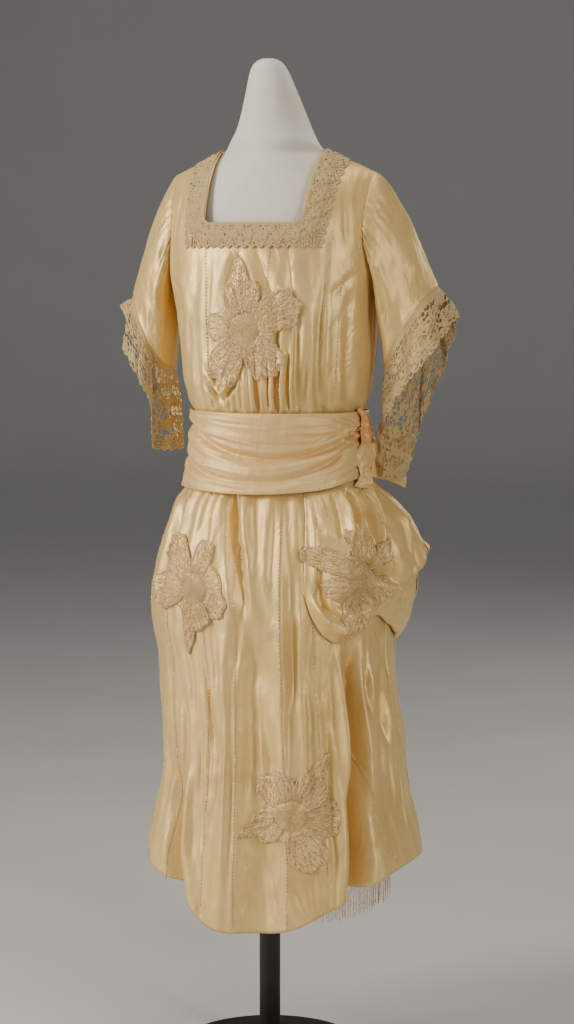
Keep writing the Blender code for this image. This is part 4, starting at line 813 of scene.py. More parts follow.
# skirt
skirt = {
    "sections": [
        (0.930, 0.119, 0.131, 0.102, 0.102), (0.900, 0.124, 0.135, 0.107, 0.108),
        (0.876, 0.135, 0.143, 0.117, 0.121), (0.858, 0.149, 0.153, 0.126, 0.132),
        (0.830, 0.160, 0.161, 0.134, 0.142), (0.800, 0.171, 0.166, 0.141, 0.150),
        (0.730, 0.189, 0.171, 0.150, 0.160), (0.690, 0.192, 0.173, 0.151, 0.160),
        (0.620, 0.180, 0.178, 0.150, 0.160), (0.550, 0.176, 0.186, 0.152, 0.163),
        (0.490, 0.172, 0.195, 0.154, 0.165), (0.450, 0.171, 0.199, 0.156, 0.167),
        (0.400, 0.180, 0.208, 0.158, 0.170), (0.360, 0.190, 0.219, 0.161, 0.174),
        (0.320, 0.198, 0.226, 0.165, 0.178), (0.220, 0.202, 0.228, 0.170, 0.184),
    ],
    "hem": [
        (-180, 0.300), (-150, 0.304), (-120, 0.318), (-90, 0.328), (-60, 0.316), (-40, 0.296), (-24, 0.278),
        (-18, 0.256), (-12, 0.238), (0, 0.230), (10, 0.230), (19, 0.238), (30, 0.257), (45, 0.284),
        (68, 0.312), (90, 0.324), (120, 0.318), (150, 0.304), (180, 0.300),
    ],
    # z from, z to, angle from, to, half width from, to, depth from, to
    "folds": [
        (0.90, 0.74, -62, -32, 7, 6, -0.010, -0.007), (0.90, 0.70, -10, -1, 7, 5, -0.010, -0.006),
        (0.90, 0.72, -18, -9, 6, 5, 0.004, 0.003), (0.90, 0.20, 20, 18, 5, 5, 0.003, 0.003),
        (0.80, 0.48, 26, 24, 6, 5, -0.007, -0.004), (0.70, 0.42, 33, 30, 6, 5, -0.006, -0.004),
        (0.66, 0.20, 61, 46, 7, 9, -0.010, -0.034), (0.66, 0.20, 53, 37, 6, 6, 0.004, 0.009),
        (0.66, 0.40, 75, 60, 7, 8, 0.006, 0.006), (0.66, 0.42, 88, 72, 8, 9, -0.013, -0.006),
        (0.48, 0.20, -40, -25, 7, 8, -0.004, -0.026), (0.50, 0.20, -30, -16, 6, 6, 0.003, 0.008),
        (0.50, 0.20, -52, -46, 9, 12, 0.003, 0.007), (0.62, 0.40, 5, 5, 7, 6, -0.005, -0.004),
        (0.58, 0.42, -8, -9, 6, 6, -0.005, -0.003), (0.88, 0.20, -98, -96, 9, 10, -0.008, -0.014),
        (0.88, 0.20, -122, -124, 9, 10, 0.005, 0.009), (0.88, 0.20, -146, -148, 9, 10, -0.009, -0.013),
        (0.88, 0.20, 178, 176, 9, 11, 0.005, 0.009), (0.88, 0.20, 154, 152, 8, 10, -0.008, -0.013),
        (0.88, 0.20, 122, 118, 9, 10, -0.006, -0.012), (0.68, 0.20, -4, -6, 12, 13, 0.006, 0.010),
        (0.68, 0.20, 9, 10, 10, 11, -0.007, -0.011), (0.66, 0.20, 59, 46, 4.2, 5.6, -0.009, -0.026),
        (0.68, 0.20, 30, 28, 10, 10, 0.003, 0.006), (0.88, 0.60, 28, 27, 6, 7, 0.002, 0.004),
        (0.86, 0.62, -22, -20, 6, 7, 0.002, 0.004),
    ],
    "gathers": 26, "gatherDepth": 0.0024, "waist": 0.930, "wall": 0.0012,
    # metres for a degree in the short creases, and the size, seed and spacing of the wrinkles
    "degree": 0.0030, "uneven": [(0.0030, 3, 0.052, 0.110), (0.0013, 14, 0.020, 0.044)],
    # finer creases laid over the folds, same columns
    "creases": [
        (0.88, 0.70, -7.5, -1.5, 2.6, 2.2, -0.0060, -0.0030),
        (0.88, 0.74, -13, -6, 2.2, 2.0, 0.0030, 0.0020), (0.89, 0.80, 4, 5, 2.4, 2.0, -0.0022, -0.0010),
        (0.89, 0.79, 9, 10, 2.2, 2.0, 0.0018, 0.0008), (0.89, 0.82, 14, 15, 2.2, 2.0, -0.0020, -0.0010),
        (0.89, 0.80, 36, 37, 2.6, 2.4, -0.0030, -0.0015), (0.89, 0.78, 41, 43, 2.6, 2.4, 0.0026, 0.0012),
        (0.89, 0.80, 46, 48, 2.4, 2.2, -0.0030, -0.0015),
        (0.89, 0.79, -24, -23, 2.6, 2.2, -0.0022, -0.0012),
        (0.89, 0.82, -32, -30, 2.6, 2.2, 0.0020, 0.0010),
        (0.89, 0.80, -41, -38, 3.0, 2.6, -0.0026, -0.0012), (0.89, 0.79, -52, -46, 3, 3, 0.0020, 0.0010),
        (0.62, 0.20, 58, 47, 2.6, 3.4, -0.0040, -0.0070), (0.60, 0.20, 52, 41, 2.2, 2.2, 0.0016, 0.0030),
        (0.44, 0.20, -37, -24, 2.4, 3.0, -0.0030, -0.0060), (0.80, 0.50, 30, 27, 2.6, 2.2, 0.0014, 0.0010),
        (0.74, 0.24, -14, -14, 2.4, 2.2, -0.0012, -0.0010), (0.74, 0.24, 1, 0, 2.4, 2.4, 0.0024, 0.0030),
        (0.60, 0.24, 35, 33, 2.4, 2.6, -0.0026, -0.0024), (0.56, 0.24, 41, 37, 2.2, 2.2, -0.0030, -0.0030),
        (0.88, 0.24, 19.2, 18.3, 1.2, 1.2, 0.0012, 0.0010),
    ],
    # short creases: angle, z, angle, z, width, depth
    "lines": [
        (5, 0.70, 4, 0.40, 0.0160, -0.0080), (-4, 0.66, -4, 0.28, 0.0070, 0.0040),
        (26, 0.70, 25, 0.57, 0.0080, -0.0080), (-10.5, 0.868, -2, 0.700, 0.0065, 0.0080),
        (-5.5, 0.872, 2, 0.715, 0.0050, -0.0120), (0, 0.868, 6, 0.740, 0.0060, 0.0050),
        (2, 0.74, -2, 0.60, 0.0060, -0.0060), (-44, 0.84, -48, 0.70, 0.0090, -0.0080),
        (-31, 0.30, -34, 0.46, 0.0100, -0.0100), (56.5, 0.65, 58, 0.45, 0.0090, -0.0100),
        (48, 0.64, 50, 0.42, 0.0060, 0.0070), (63, 0.58, 62, 0.42, 0.0060, 0.0070),
        (74, 0.64, 84, 0.50, 0.0080, -0.0060), (15, 0.86, 15, 0.74, 0.0060, -0.0040),
        (11, 0.54, 12, 0.40, 0.0120, -0.0060), (36, 0.64, 35, 0.44, 0.0055, 0.0028),
        (50, 0.62, 49, 0.42, 0.0050, 0.0036), (67, 0.62, 71, 0.48, 0.0060, -0.0040),
        (79, 0.60, 84, 0.40, 0.0060, 0.0030), (6, 0.42, 17, 0.40, 0.0025, -0.0012),
        (-25, 0.64, -24, 0.54, 0.0045, -0.0034), (-20, 0.58, -19, 0.40, 0.0060, -0.0024),
        (-1, 0.280, 17, 0.281, 0.0016, -0.0010), (11, 0.682, 19, 0.683, 0.0014, -0.0016),
        (25, 0.683, 30, 0.682, 0.0014, -0.0016), (62, 0.66, 56, 0.56, 0.0050, -0.0046),
        (71, 0.67, 66, 0.55, 0.0050, -0.0044), (-12, 0.71, -9, 0.58, 0.0045, -0.0034),
        (-30, 0.78, -27, 0.60, 0.0060, -0.0030), (-44, 0.66, -42, 0.46, 0.0070, -0.0036),
        (-52, 0.60, -50, 0.40, 0.0060, 0.0028), (12, 0.60, 12, 0.34, 0.0070, 0.0026),
        (28, 0.34, 30, 0.25, 0.0060, -0.0030), (40, 0.48, 38, 0.28, 0.0060, -0.0034),
        (-10, 0.36, -12, 0.25, 0.0060, -0.0028), (8, 0.33, 10, 0.24, 0.0060, -0.0026),
        (88, 0.44, 92, 0.34, 0.0060, -0.0036), (-3.5, 0.64, -1.5, 0.30, 0.0040, -0.0044),
        (-17, 0.50, -13, 0.36, 0.0044, 0.0044), (13, 0.52, 11, 0.36, 0.0046, -0.0050),
        (30, 0.58, 27, 0.40, 0.0044, 0.0044), (-29, 0.56, -31, 0.42, 0.0050, -0.0050),
        (84, 0.56, 80, 0.42, 0.0050, -0.0044), (76, 0.40, 78, 0.32, 0.0050, 0.0026),
        (-16, 0.62, -11, 0.50, 0.0050, -0.0050), (-24, 0.44, -20, 0.33, 0.0060, -0.0050),
        (6, 0.33, 3, 0.26, 0.0060, -0.0050), (12, 0.31, 15, 0.25, 0.0050, 0.0040),
        (22, 0.30, 26, 0.26, 0.0050, -0.0044), (7, 0.60, 9, 0.46, 0.0060, 0.0050),
        (22, 0.56, 21, 0.46, 0.0050, -0.0040), (-6, 0.52, -9, 0.40, 0.0050, -0.0044),
        (-80, 0.70, -78, 0.44, 0.0070, -0.0034), (-108, 0.66, -108, 0.40, 0.0080, -0.0034),
        (-134, 0.70, -134, 0.38, 0.0070, 0.0030), (-160, 0.76, -160, 0.42, 0.0070, -0.0034),
        (166, 0.60, 166, 0.36, 0.0070, -0.0034), (138, 0.56, 137, 0.34, 0.0070, -0.0030),
        (-172, 0.50, -172, 0.32, 0.0060, 0.0026), (110, 0.56, 108, 0.36, 0.0070, 0.0030),
    ],
}


def foldDepth(table, degrees, z):
    total = np.zeros(np.broadcast(degrees, z).shape)
    for zFrom, zTo, angleFrom, angleTo, halfFrom, halfTo, depthFrom, depthTo in table:
        share = np.clip((zFrom - z) / (zFrom - zTo), 0, 1)
        at = angleFrom + (angleTo - angleFrom) * share
        half = halfFrom + (halfTo - halfFrom) * share
        depth = depthFrom + (depthTo - depthFrom) * share
        start = np.clip((zFrom - z) / 0.06, 0, 1)
        end = np.clip((z - zTo) / 0.06, 0, 1) if zTo > 0.3 else 1.0
        total = total + depth * bump(turnBetween(degrees, at), half) * start * end
    return total


def skirtOffset(angle, z):
    degrees = np.degrees(angle)
    level = smoothCurve(z, (0.600, 0.780, 0.860, 0.930), (0.0, 0.35, 1.0, 0.3))
    out = foldDepth(skirt["folds"], degrees, z)
    out = out + skirt["gatherDepth"] * level * np.cos(skirt["gathers"] * angle)
    out = out + foldDepth(skirt["creases"], degrees, z)
    out = out + creaseLines(skirt["lines"], degrees, z, skirt["degree"], True)
    uneven = sum(crinkle(angle * 0.17, z, *row) for row in skirt["uneven"])
    return out + uneven * np.clip((0.90 - z) / 0.1, 0, 1)


def skirtPoint(angle, z):
    return sectionPoint(skirt["sections"], angle, z) + radial(angle) * skirtOffset(angle, z)[..., None]


def skirtGrid(first, last, cols, rows):
    angle = np.radians(np.linspace(first, last, cols + 1))[None, :]
    share = np.linspace(0, 1, rows + 1)[:, None] ** 1.1
    hem = pairs(turnBetween(np.degrees(angle), 0), skirt["hem"])
    angle, z = np.broadcast_arrays(angle, skirt["waist"] + (hem - skirt["waist"]) * share)
    grid = skirtPoint(angle, z)
    # the turned-up hem shows as a faint ridge
    above = z - hem
    ridge = 0.0005 * np.exp(-((above - 0.030) / 0.0025) ** 2) + 0.0004 * np.exp(-(above / 0.003) ** 2)
    return grid + gridNormals(grid) * ridge[..., None]


def makeSkirt():
    front = skirtGrid(-90, 90, 176, 124)
    back = skirtGrid(90, 270, 130, 100)
    for name, node, grid in (("skirtFront", "skirt_front", front), ("skirtBack", "skirt_back", back)):
        piece = thicken(gridMesh(name, grid, [satin]), skirt["wall"])
        dress(piece, node)
    print("skirt made")
    return front


# hip drape, the skirt's left side looped up
drape = {
    "seam": 113.0, "backEnd": 172.0, "degree": 0.0033,
    # angles of the edges: share down, angle
    "frontEdge": [(0.0, 33.0), (0.5, 31.5), (1.0, 31.0)],
    "bottom": [(31, 0.735), (35, 0.700), (41, 0.672), (49, 0.660), (57, 0.667), (68, 0.690), (78, 0.694),
               (90, 0.676), (102, 0.658), (113, 0.650)],
    "lap": [(66, 0.690), (78, 0.704), (90, 0.722), (102, 0.752), (113, 0.772), (126, 0.785), (140, 0.800)],
    "backBottom": [(113, 0.650), (128, 0.632), (150, 0.640), (172, 0.690)],
    "puff": [(28, 0.0), (40, 0.010), (52, 0.028), (66, 0.026), (78, 0.022), (92, 0.036), (106, 0.047),
             (118, 0.049), (135, 0.040), (150, 0.030), (162, 0.016), (172, 0.0)],
    "clear": 0.0035, "corner": (117, 0.782, 12, 0.030, 0.013), "wall": 0.0012,
    "sashBottom": [
        (-180, 0.878), (-60, 0.880), (0, 0.876), (40, 0.882), (80, 0.897), (130, 0.890), (180, 0.878),
    ],
    # angle, drift down the piece, half width, depth
    "folds": [
        (68, -14, 8, -0.007), (80, -4, 7, 0.004), (92, 4, 7, -0.007), (104, 2, 7, 0.004),
        (56, -14, 7, 0.003), (128, 4, 9, -0.006), (140, 4, 8, 0.004), (152, 2, 8, -0.005),
    ],
    "creases": [
        (64, -20, 2.4, -0.0030), (72, -22, 2.4, 0.0024), (76, -14, 2.4, -0.0034), (84, -8, 2.4, 0.0024),
        (88, 2, 2.4, -0.0034), (97, 6, 2.6, 0.0020), (60, -22, 2.2, 0.0018), (108, 4, 3, -0.0024),
        (122, 3, 3, 0.0020), (134, 3, 3, -0.0024), (146, 3, 3, 0.0020), (158, 2, 3, -0.0016),
    ],
    "lines": [
        (100, 0.888, 89, 0.846, 0.0090, -0.0130), (89, 0.850, 82, 0.790, 0.0085, -0.0150),
        (82, 0.794, 85, 0.738, 0.0085, -0.0130), (80, 0.884, 74, 0.800, 0.0080, 0.0100),
        (97, 0.850, 92, 0.752, 0.0100, 0.0130), (103, 0.836, 101, 0.740, 0.0080, -0.0100),
        (70, 0.850, 74, 0.752, 0.0070, -0.0090), (109, 0.850, 111, 0.780, 0.0080, 0.0080),
        (73, 0.884, 65, 0.800, 0.0070, -0.0100), (69, 0.884, 61, 0.815, 0.0046, 0.0070),
        (64, 0.882, 57, 0.812, 0.0056, -0.0100), (58, 0.878, 54, 0.816, 0.0046, 0.0070),
        (51, 0.876, 49, 0.808, 0.0064, -0.0090), (43, 0.872, 43, 0.815, 0.0050, 0.0034),
        (38, 0.872, 38, 0.830, 0.0040, -0.0040), (36, 0.850, 36.5, 0.740, 0.0035, 0.0040),
        (39, 0.800, 40, 0.700, 0.0060, -0.0050), (60, 0.776, 80, 0.744, 0.0100, -0.0120),
        (64, 0.752, 82, 0.720, 0.0100, 0.0110), (83, 0.770, 88, 0.735, 0.0100, -0.0070),
        (69, 0.704, 59, 0.699, 0.0036, -0.0060), (69, 0.706, 61, 0.722, 0.0034, -0.0050),
        (69, 0.708, 64, 0.738, 0.0034, -0.0050), (69, 0.706, 77, 0.727, 0.0036, 0.0044),
        (70, 0.706, 73, 0.737, 0.0034, -0.0044), (36, 0.716, 43, 0.688, 0.0050, 0.0056),
        (43, 0.686, 51, 0.674, 0.0050, 0.0064), (51, 0.674, 60, 0.684, 0.0050, 0.0060),
        (36, 0.736, 44, 0.704, 0.0050, -0.0070), (44, 0.704, 52, 0.692, 0.0050, -0.0080),
        (52, 0.692, 62, 0.702, 0.0050, -0.0076), (104, 0.870, 102, 0.790, 0.0090, -0.0060),
        (112, 0.860, 112, 0.800, 0.0070, 0.0046), (108, 0.760, 104, 0.690, 0.0070, -0.0050),
        (98, 0.730, 95, 0.690, 0.0060, 0.0040), (126, 0.860, 124, 0.720, 0.0090, -0.0070),
        (140, 0.850, 137, 0.700, 0.0090, 0.0060), (152, 0.850, 150, 0.720, 0.0070, -0.0060),
        (131, 0.760, 145, 0.720, 0.0080, -0.0050),
    ],
}


def drapeGrid(first, last, bottom, cols, rows, seed, sewn):
    p, q = np.broadcast_arrays(np.linspace(0, 1, cols + 1)[None, :], np.linspace(0, 1, rows + 1)[:, None])
    start, end = pairs(q, first), pairs(q, last)
    degrees = start + (end - start) * p
    top = pairs(degrees, drape["sashBottom"]) - 0.0004
    z = top + (pairs(degrees, bottom) - top) * q
    angle = np.radians(degrees)
    puff = pairs(degrees, drape["puff"]) * np.sin(math.pi * np.clip(q, 0, 1) ** 1.35) ** 0.62
    for centre, drift, half, depth in drape["folds"]:
        puff = puff + depth * bump(degrees - centre - drift * q, half) * np.sin(math.pi * q ** 0.8)
    # the looped-up edge rolls outwards under a hollow
    window = np.clip((degrees - 33) / 6, 0, 1) * np.clip((70 - degrees) / 8, 0, 1)
    puff = puff + window * (0.013 * bump(q - 0.89, 0.11) - 0.008 * bump(q - 0.72, 0.12))
    cornerAt, cornerZ, wide, high, out = drape["corner"]
    puff = puff + out * bump(degrees - cornerAt, wide) * bump(z - cornerZ, high)
    # the pouf's edge laps over the cloth behind
    lap = pairs(degrees, drape["lap"])
    below = np.clip((lap - z) / 0.007, 0, 1)
    side = np.clip((degrees - 70) / 14, 0, 1) * np.clip((138 - degrees) / 14, 0, 1)
    puff = puff - 0.011 * bump(1 - below, 1) * side * np.clip((1 - q) * 5, 0, 1)
    puff = puff + 0.003 * side * bump(z - lap - 0.006, 0.008)
    under = np.clip(foldDepth(skirt["folds"], degrees, z), 0, None) + skirt["gatherDepth"]
    puff = np.clip(puff, 0, None)
    fade = np.clip(q / 0.08, 0, 1) * (1 - q) ** 0.6
    for centre, drift, half, depth in drape["creases"]:
        puff = puff + depth * bump(degrees - centre - drift * q, half) * fade
    ends = np.clip(q / 0.1, 0, 1) * np.clip((1 - q) / 0.08, 0, 1)
    fine = creaseLines(drape["lines"], degrees, z, drape["degree"])
    puff = puff + (fine + crinkle(angle * 0.2, z, 0.0036, seed, 0.036, 0.080)) * ends
    out = np.maximum(under + puff, skirtOffset(angle, z)) + drape["clear"]
    if sewn:
        # sewn flat to the skirt along its front edge
        free = np.clip(p * 13, 0, 1) ** 0.7
        flat = skirtOffset(angle, z) + 0.0018
        out = flat + (out - flat) * free
    return sectionPoint(skirt["sections"], angle, z) + radial(angle) * out[..., None]


def makeDrape():
    seam, end = ([(0.0, drape[edge]), (1.0, drape[edge])] for edge in ("seam", "backEnd"))
    front = drapeGrid(drape["frontEdge"], seam, drape["bottom"], 110, 84, 21, True)
    back = drapeGrid(seam, end, drape["backBottom"], 60, 70, 22, False)
    for name, node, grid, flat in (("hipDrape", "hip_drape", front, (0.30, 0.25)),
                                   ("hipDrapeBack", "hip_drape_back", back, (0.20, 0.26))):
        piece = thicken(gridMesh(name, grid, [satin]), drape["wall"])
        dress(piece, node)
    print("hip drape made")
    return front


# sash with its knot, loop and long end
sash = {
    "sections": [
        (0.875, 0.1435, 0.1530, 0.1275, 0.1325), (0.905, 0.1385, 0.1490, 0.1215, 0.1240),
        (0.935, 0.1335, 0.1460, 0.1165, 0.1170), (0.965, 0.1300, 0.1430, 0.1150, 0.1130),
        (0.995, 0.1295, 0.1420, 0.1150, 0.1125),
    ],
    "top": 0.9945, "wall": 0.0020, "endWall": 0.0014, "tailWall": 0.0012, "grid": (236, 54),
    # where the pucker is, by angle and share, and the height at which the knot shows its other side, in the
    # reverse satin with painted shade
    "pucker": (70.5, 0.66), "knotTurn": 0.947,
    "knotLeft": [(0, 78), (0.20, 81), (0.42, 82), (0.52, 77), (0.68, 74), (0.84, 75), (1, 70)],
    "knotRight": [(0, 84), (0.20, 97), (0.42, 103), (0.55, 99), (0.72, 92), (0.86, 90), (1, 94)],
    # share of the height by angle, depth
    "creases": [
        ([(-175, 0.60), (-80, 0.84), (-56, 0.78), (-22, 0.56), (-2, 0.46), (12, 0.43), (31, 0.46), (66, 0.60),
          (87, 0.74), (110, 0.78), (175, 0.60)], -0.0068),
        ([(-175, 0.30), (-80, 0.44), (-52, 0.31), (-9, 0.16), (13, 0.15), (30, 0.21), (50, 0.32), (80, 0.56),
          (110, 0.60), (175, 0.30)], -0.0052),
    ],
    # short folds: angle, share, angle, share, width, depth
    "lines": [
        (-36, 0.72, 6, 0.56, 0.018, -0.0024), (-34, 0.52, 4, 0.38, 0.018, -0.0022),
        (-30, 0.90, 10, 0.83, 0.016, -0.0016), (2, 0.62, 40, 0.60, 0.018, -0.0020),
        (10, 0.78, 58, 0.84, 0.018, -0.0016), (30, 0.70, 74, 0.72, 0.018, -0.0026),
        (44, 0.56, 78, 0.68, 0.016, -0.0028), (56, 0.90, 80, 0.76, 0.016, -0.0026),
        (58, 0.97, 79, 0.84, 0.016, -0.0020), (50, 0.36, 84, 0.48, 0.018, -0.0024),
        (22, 0.12, 70, 0.22, 0.020, -0.0016), (-32, 0.30, -4, 0.22, 0.018, -0.0020),
        (-34, 0.14, 6, 0.07, 0.018, -0.0016), (60, 0.10, 88, 0.22, 0.018, -0.0022),
        (-66, 0.50, -36, 0.62, 0.020, -0.0022), (74, 0.62, 79, 0.67, 0.050, -0.0060),
        (84, 0.30, 100, 0.50, 0.020, -0.0030), (96, 0.80, 130, 0.66, 0.020, -0.0024),
        (-6, 0.37, 29, 0.40, 0.030, -0.0026), (29, 0.40, 62, 0.53, 0.030, -0.0026),
        (40, 0.62, 80, 0.86, 0.040, -0.0028), (50, 0.80, 78, 0.93, 0.035, -0.0024),
        (62, 0.44, 84, 0.62, 0.030, -0.0024), (30, 0.36, 74, 0.50, 0.030, 0.0016),
        (-70, 0.62, -30, 0.40, 0.035, -0.0020), (-75, 0.22, -30, 0.08, 0.030, -0.0016),
        (-60, 0.93, -35, 0.80, 0.035, -0.0016), (-20, 0.72, 30, 0.68, 0.060, 0.0012),
        (100, 0.90, 150, 0.74, 0.040, -0.0026), (110, 0.40, 160, 0.22, 0.040, -0.0024),
        (-150, 0.80, -100, 0.92, 0.040, -0.0024), (-150, 0.20, -100, 0.36, 0.040, -0.0022),
        (120, 0.70, 170, 0.50, 0.040, -0.0020),
    ],
    "loop": [(0.1533, 0.043, 0.936), (0.168, 0.068, 0.928), (0.178, 0.096, 0.920), (0.183, 0.116, 0.914),
             (0.178, 0.130, 0.912), (0.166, 0.132, 0.914), (0.152, 0.118, 0.920), (0.144, 0.098, 0.926)],
    "loopWidths": [0.082, 0.080, 0.080, 0.082, 0.082, 0.078, 0.070, 0.060],
    "loopSpread": (0.12, 0.16, 0.98), "loopFolds": [
        (-0.25, 0.10, 0.003), (0.05, 0.08, -0.003), (0.28, 0.10, 0.003),
    ],
    # share down, middle x, width, y
    "tail": [(0.00, 0.075, 0.040, 0.1503), (0.06, 0.082, 0.064, 0.178), (0.14, 0.084, 0.098, 0.206),
             (0.25, 0.078, 0.118, 0.213), (0.50, 0.068, 0.132, 0.219), (1.00, 0.058, 0.142, 0.227)],
    "tailTop": 0.892,
    "tailEnd": [(-0.015, 0.200), (0.040, 0.212), (0.090, 0.236), (0.115, 0.252), (0.131, 0.272)],
}


def sashPoint(degrees, share):
    bottom = pairs(degrees, drape["sashBottom"])
    z = bottom + (sash["top"] - bottom) * share
    angle = np.radians(degrees)
    push = 0 * (degrees + share)
    for line, depth in sash["creases"]:
        at = pairs(degrees, line)
        push = push + depth * bump(share - at, 0.11)
        # the cloth above rolls over a crisp crease
        push = push + depth * 0.45 * np.exp(-np.abs(share - at + 0.006) / 0.016)
        push = push + 0.0014 * bump(share - at - 0.07, 0.06)
    push = push + creaseLines(sash["lines"], degrees, share, 0.020, True)
    # the cloth is pulled into a small pucker beside the knot
    puckerAt, puckerShare = sash["pucker"]
    apart = np.hypot((degrees - puckerAt) * 0.0024, (share - puckerShare) * 0.112)
    push = push - 0.0110 * np.exp(-(apart / 0.0052) ** 2) + 0.0026 * np.exp(-((apart - 0.0100) / 0.0034) ** 2)
    return sectionPoint(sash["sections"], angle, z) + radial(angle) * push[..., None]


def makeSash():
    cols, rows = sash["grid"]
    degrees = (np.arange(cols) * 360 / cols - 180)[None, :]
    degrees, share = np.broadcast_arrays(degrees, np.linspace(1, 0, rows + 1)[:, None])
    angle = np.radians(degrees)
    u, v = share * 0.112 + 0.012 * np.sin(angle * 2), degrees * 0.0023
    uneven = crinkle(u, v, 0.0017, 9, 0.018, 0.090) * np.clip(np.minimum(share, 1 - share) / 0.04, 0.2, 1)
    band = sashPoint(degrees, share) + radial(angle) * uneven[..., None]
    # the inner faces take the reverse satin, painted darker as shade
    piece = thicken(gridMesh("sashBand", band, [sashSatin, shadedSashReverse], closed=True), sash["wall"], 1)
    dress(piece, "sash_band")
    print("sash made")


def ribbonGrid(path, widths, spread, cols, rows, folds):
    # a strip along a path; folds are share across, half width and depth
    path, widths, spread = np.array(path, float), np.array(widths, float), np.array(spread, float)
    along = np.linspace(0, len(path) - 1, rows + 1)
    keys = np.arange(len(path))
    way = np.stack([smoothCurve(along, keys, path[:, k]) for k in range(3)], -1)
    wide = smoothCurve(along, keys, widths)
    out = np.cross(np.tile(spread, (rows + 1, 1)), np.gradient(way, axis=0))
    out /= np.linalg.norm(out, axis=1, keepdims=True)
    share = np.linspace(-0.5, 0.5, cols + 1)
    swell = np.sin(math.pi * along / (len(path) - 1))[:, None]
    lift = sum(depth * bump(share - at, half)[None, :] * swell for at, half, depth in folds)
    return way[:, None] + spread * (wide[:, None] * share)[..., None] + out[:, None] * lift[..., None]


def makeSashEnds():
    # the turned-over end shows its reverse above, whose darker, more orange colour is painted shade, and is
    # crumpled where it is pulled through below
    p, q = np.broadcast_arrays(np.linspace(0, 1, 49)[None, :], np.linspace(0, 1, 91)[:, None])
    left, right = pairs(q, sash["knotLeft"]), pairs(q, sash["knotRight"])
    angle = np.radians(left + (right - left) * p)
    z = 0.9995 - 0.1135 * q - 0.004 * np.sin(p * math.pi) * (q > 0.5)
    low = np.clip((q - 0.50) / 0.12, 0, 1)
    out = 0.0036 + 0.0040 * np.sin(math.pi * p) * (0.4 + low) + 0.004 * p * np.sin(math.pi * q)
    out = out - 0.0020 * low + 0.0016 * low * np.cos(11 * p + 14 * q)
    out = out + crinkle(p * 0.05, q * 0.11, 0.0046, 71, 0.012, 0.022)
    out = out * np.clip(np.minimum(q, 1 - q) / 0.06, 0.5, 1)
    grid = sectionPoint(sash["sections"], angle, z) + radial(angle) * out[..., None]
    knot = gridMesh("sashKnot", grid, [shadedSashReverse, sashSatin])
    for face in knot.data.polygons:
        face.material_index = int(face.center.z < sash["knotTurn"])
    thicken(knot, sash["endWall"])
    dress(knot, "sash_knot")
    loop = ribbonGrid(sash["loop"], sash["loopWidths"], sash["loopSpread"], 40, 70, sash["loopFolds"])
    # the loop's inner faces take the reverse satin, painted darker as shade
    loop = thicken(gridMesh("sashLoop", loop, [sashSatin, shadedSashReverse]), sash["endWall"], 1)
    dress(loop, "sash_loop")


def tailGrid(cols, rows):
    p, q = np.broadcast_arrays(np.linspace(0, 1, cols + 1)[None, :], np.linspace(0, 1, rows + 1)[:, None])
    middle, width, y = columns(q, sash["tail"])
    x = middle + (p - 0.5) * width
    z = sash["tailTop"] + (pairs(x, sash["tailEnd"]) - sash["tailTop"]) * q
    y = y - 0.8 * x * x + 0.005 * np.cos(p * 9.0) * q
    y = y + crinkle(p * 0.13, z, 0.0016, 31) * np.clip(q * 4, 0, 1)
    return np.stack([x, y, z], -1)[:, ::-1]


fringe = {"strands": 66, "length": 0.066, "pitch": 0.0026, "sway": 0.0016, "bead": (0.0027, 0.0013)}


def makeTail():
    grid = tailGrid(40, 150)
    # the tail's inner faces take the reverse satin, painted darker as shade
    tail = thicken(gridMesh("sashTail", grid, [sashSatin, shadedSashReverse]), sash["tailWall"], 1)
    # strands of beads hang inside the tail's lower edge
    strands, pitch = fringe["strands"], fringe["pitch"]
    edge, outward = grid[-1], gridNormals(grid)[-1]
    at = np.linspace(0.02, 0.98, strands) * (len(edge) - 1)
    top = interpRows(at, range(len(edge)), edge) - interpRows(at, range(len(edge)), outward) * 0.0022
    top = top + (0, 0, 0.003)
    count = int(fringe["length"] / pitch)
    sway = np.concatenate([rng.normal(0, fringe["sway"], (strands, 2)), np.zeros((strands, 1))], 1)
    step = np.arange(count)[None, :, None]
    drop = step * pitch * (0.93 + 0.07 * np.sin(np.arange(strands) * 2.1))[:, None, None]
    place = top[:, None] - drop * np.array((0, 0, 1.0)) + (step / count) ** 2 * sway[:, None]
    place = place.reshape(-1, 3)
    down, facing = np.tile((0.0, 0.0, -1.0), (len(place), 1)), np.tile((0.0, 1.0, 0.0), (len(place), 1))
    strings = beads("tailFringe", place, down, facing, *fringe["bead"], clear)
    dress(strings, "tail_fringe")
    dress(tail, "sash_tail")
    print("sash ends made")


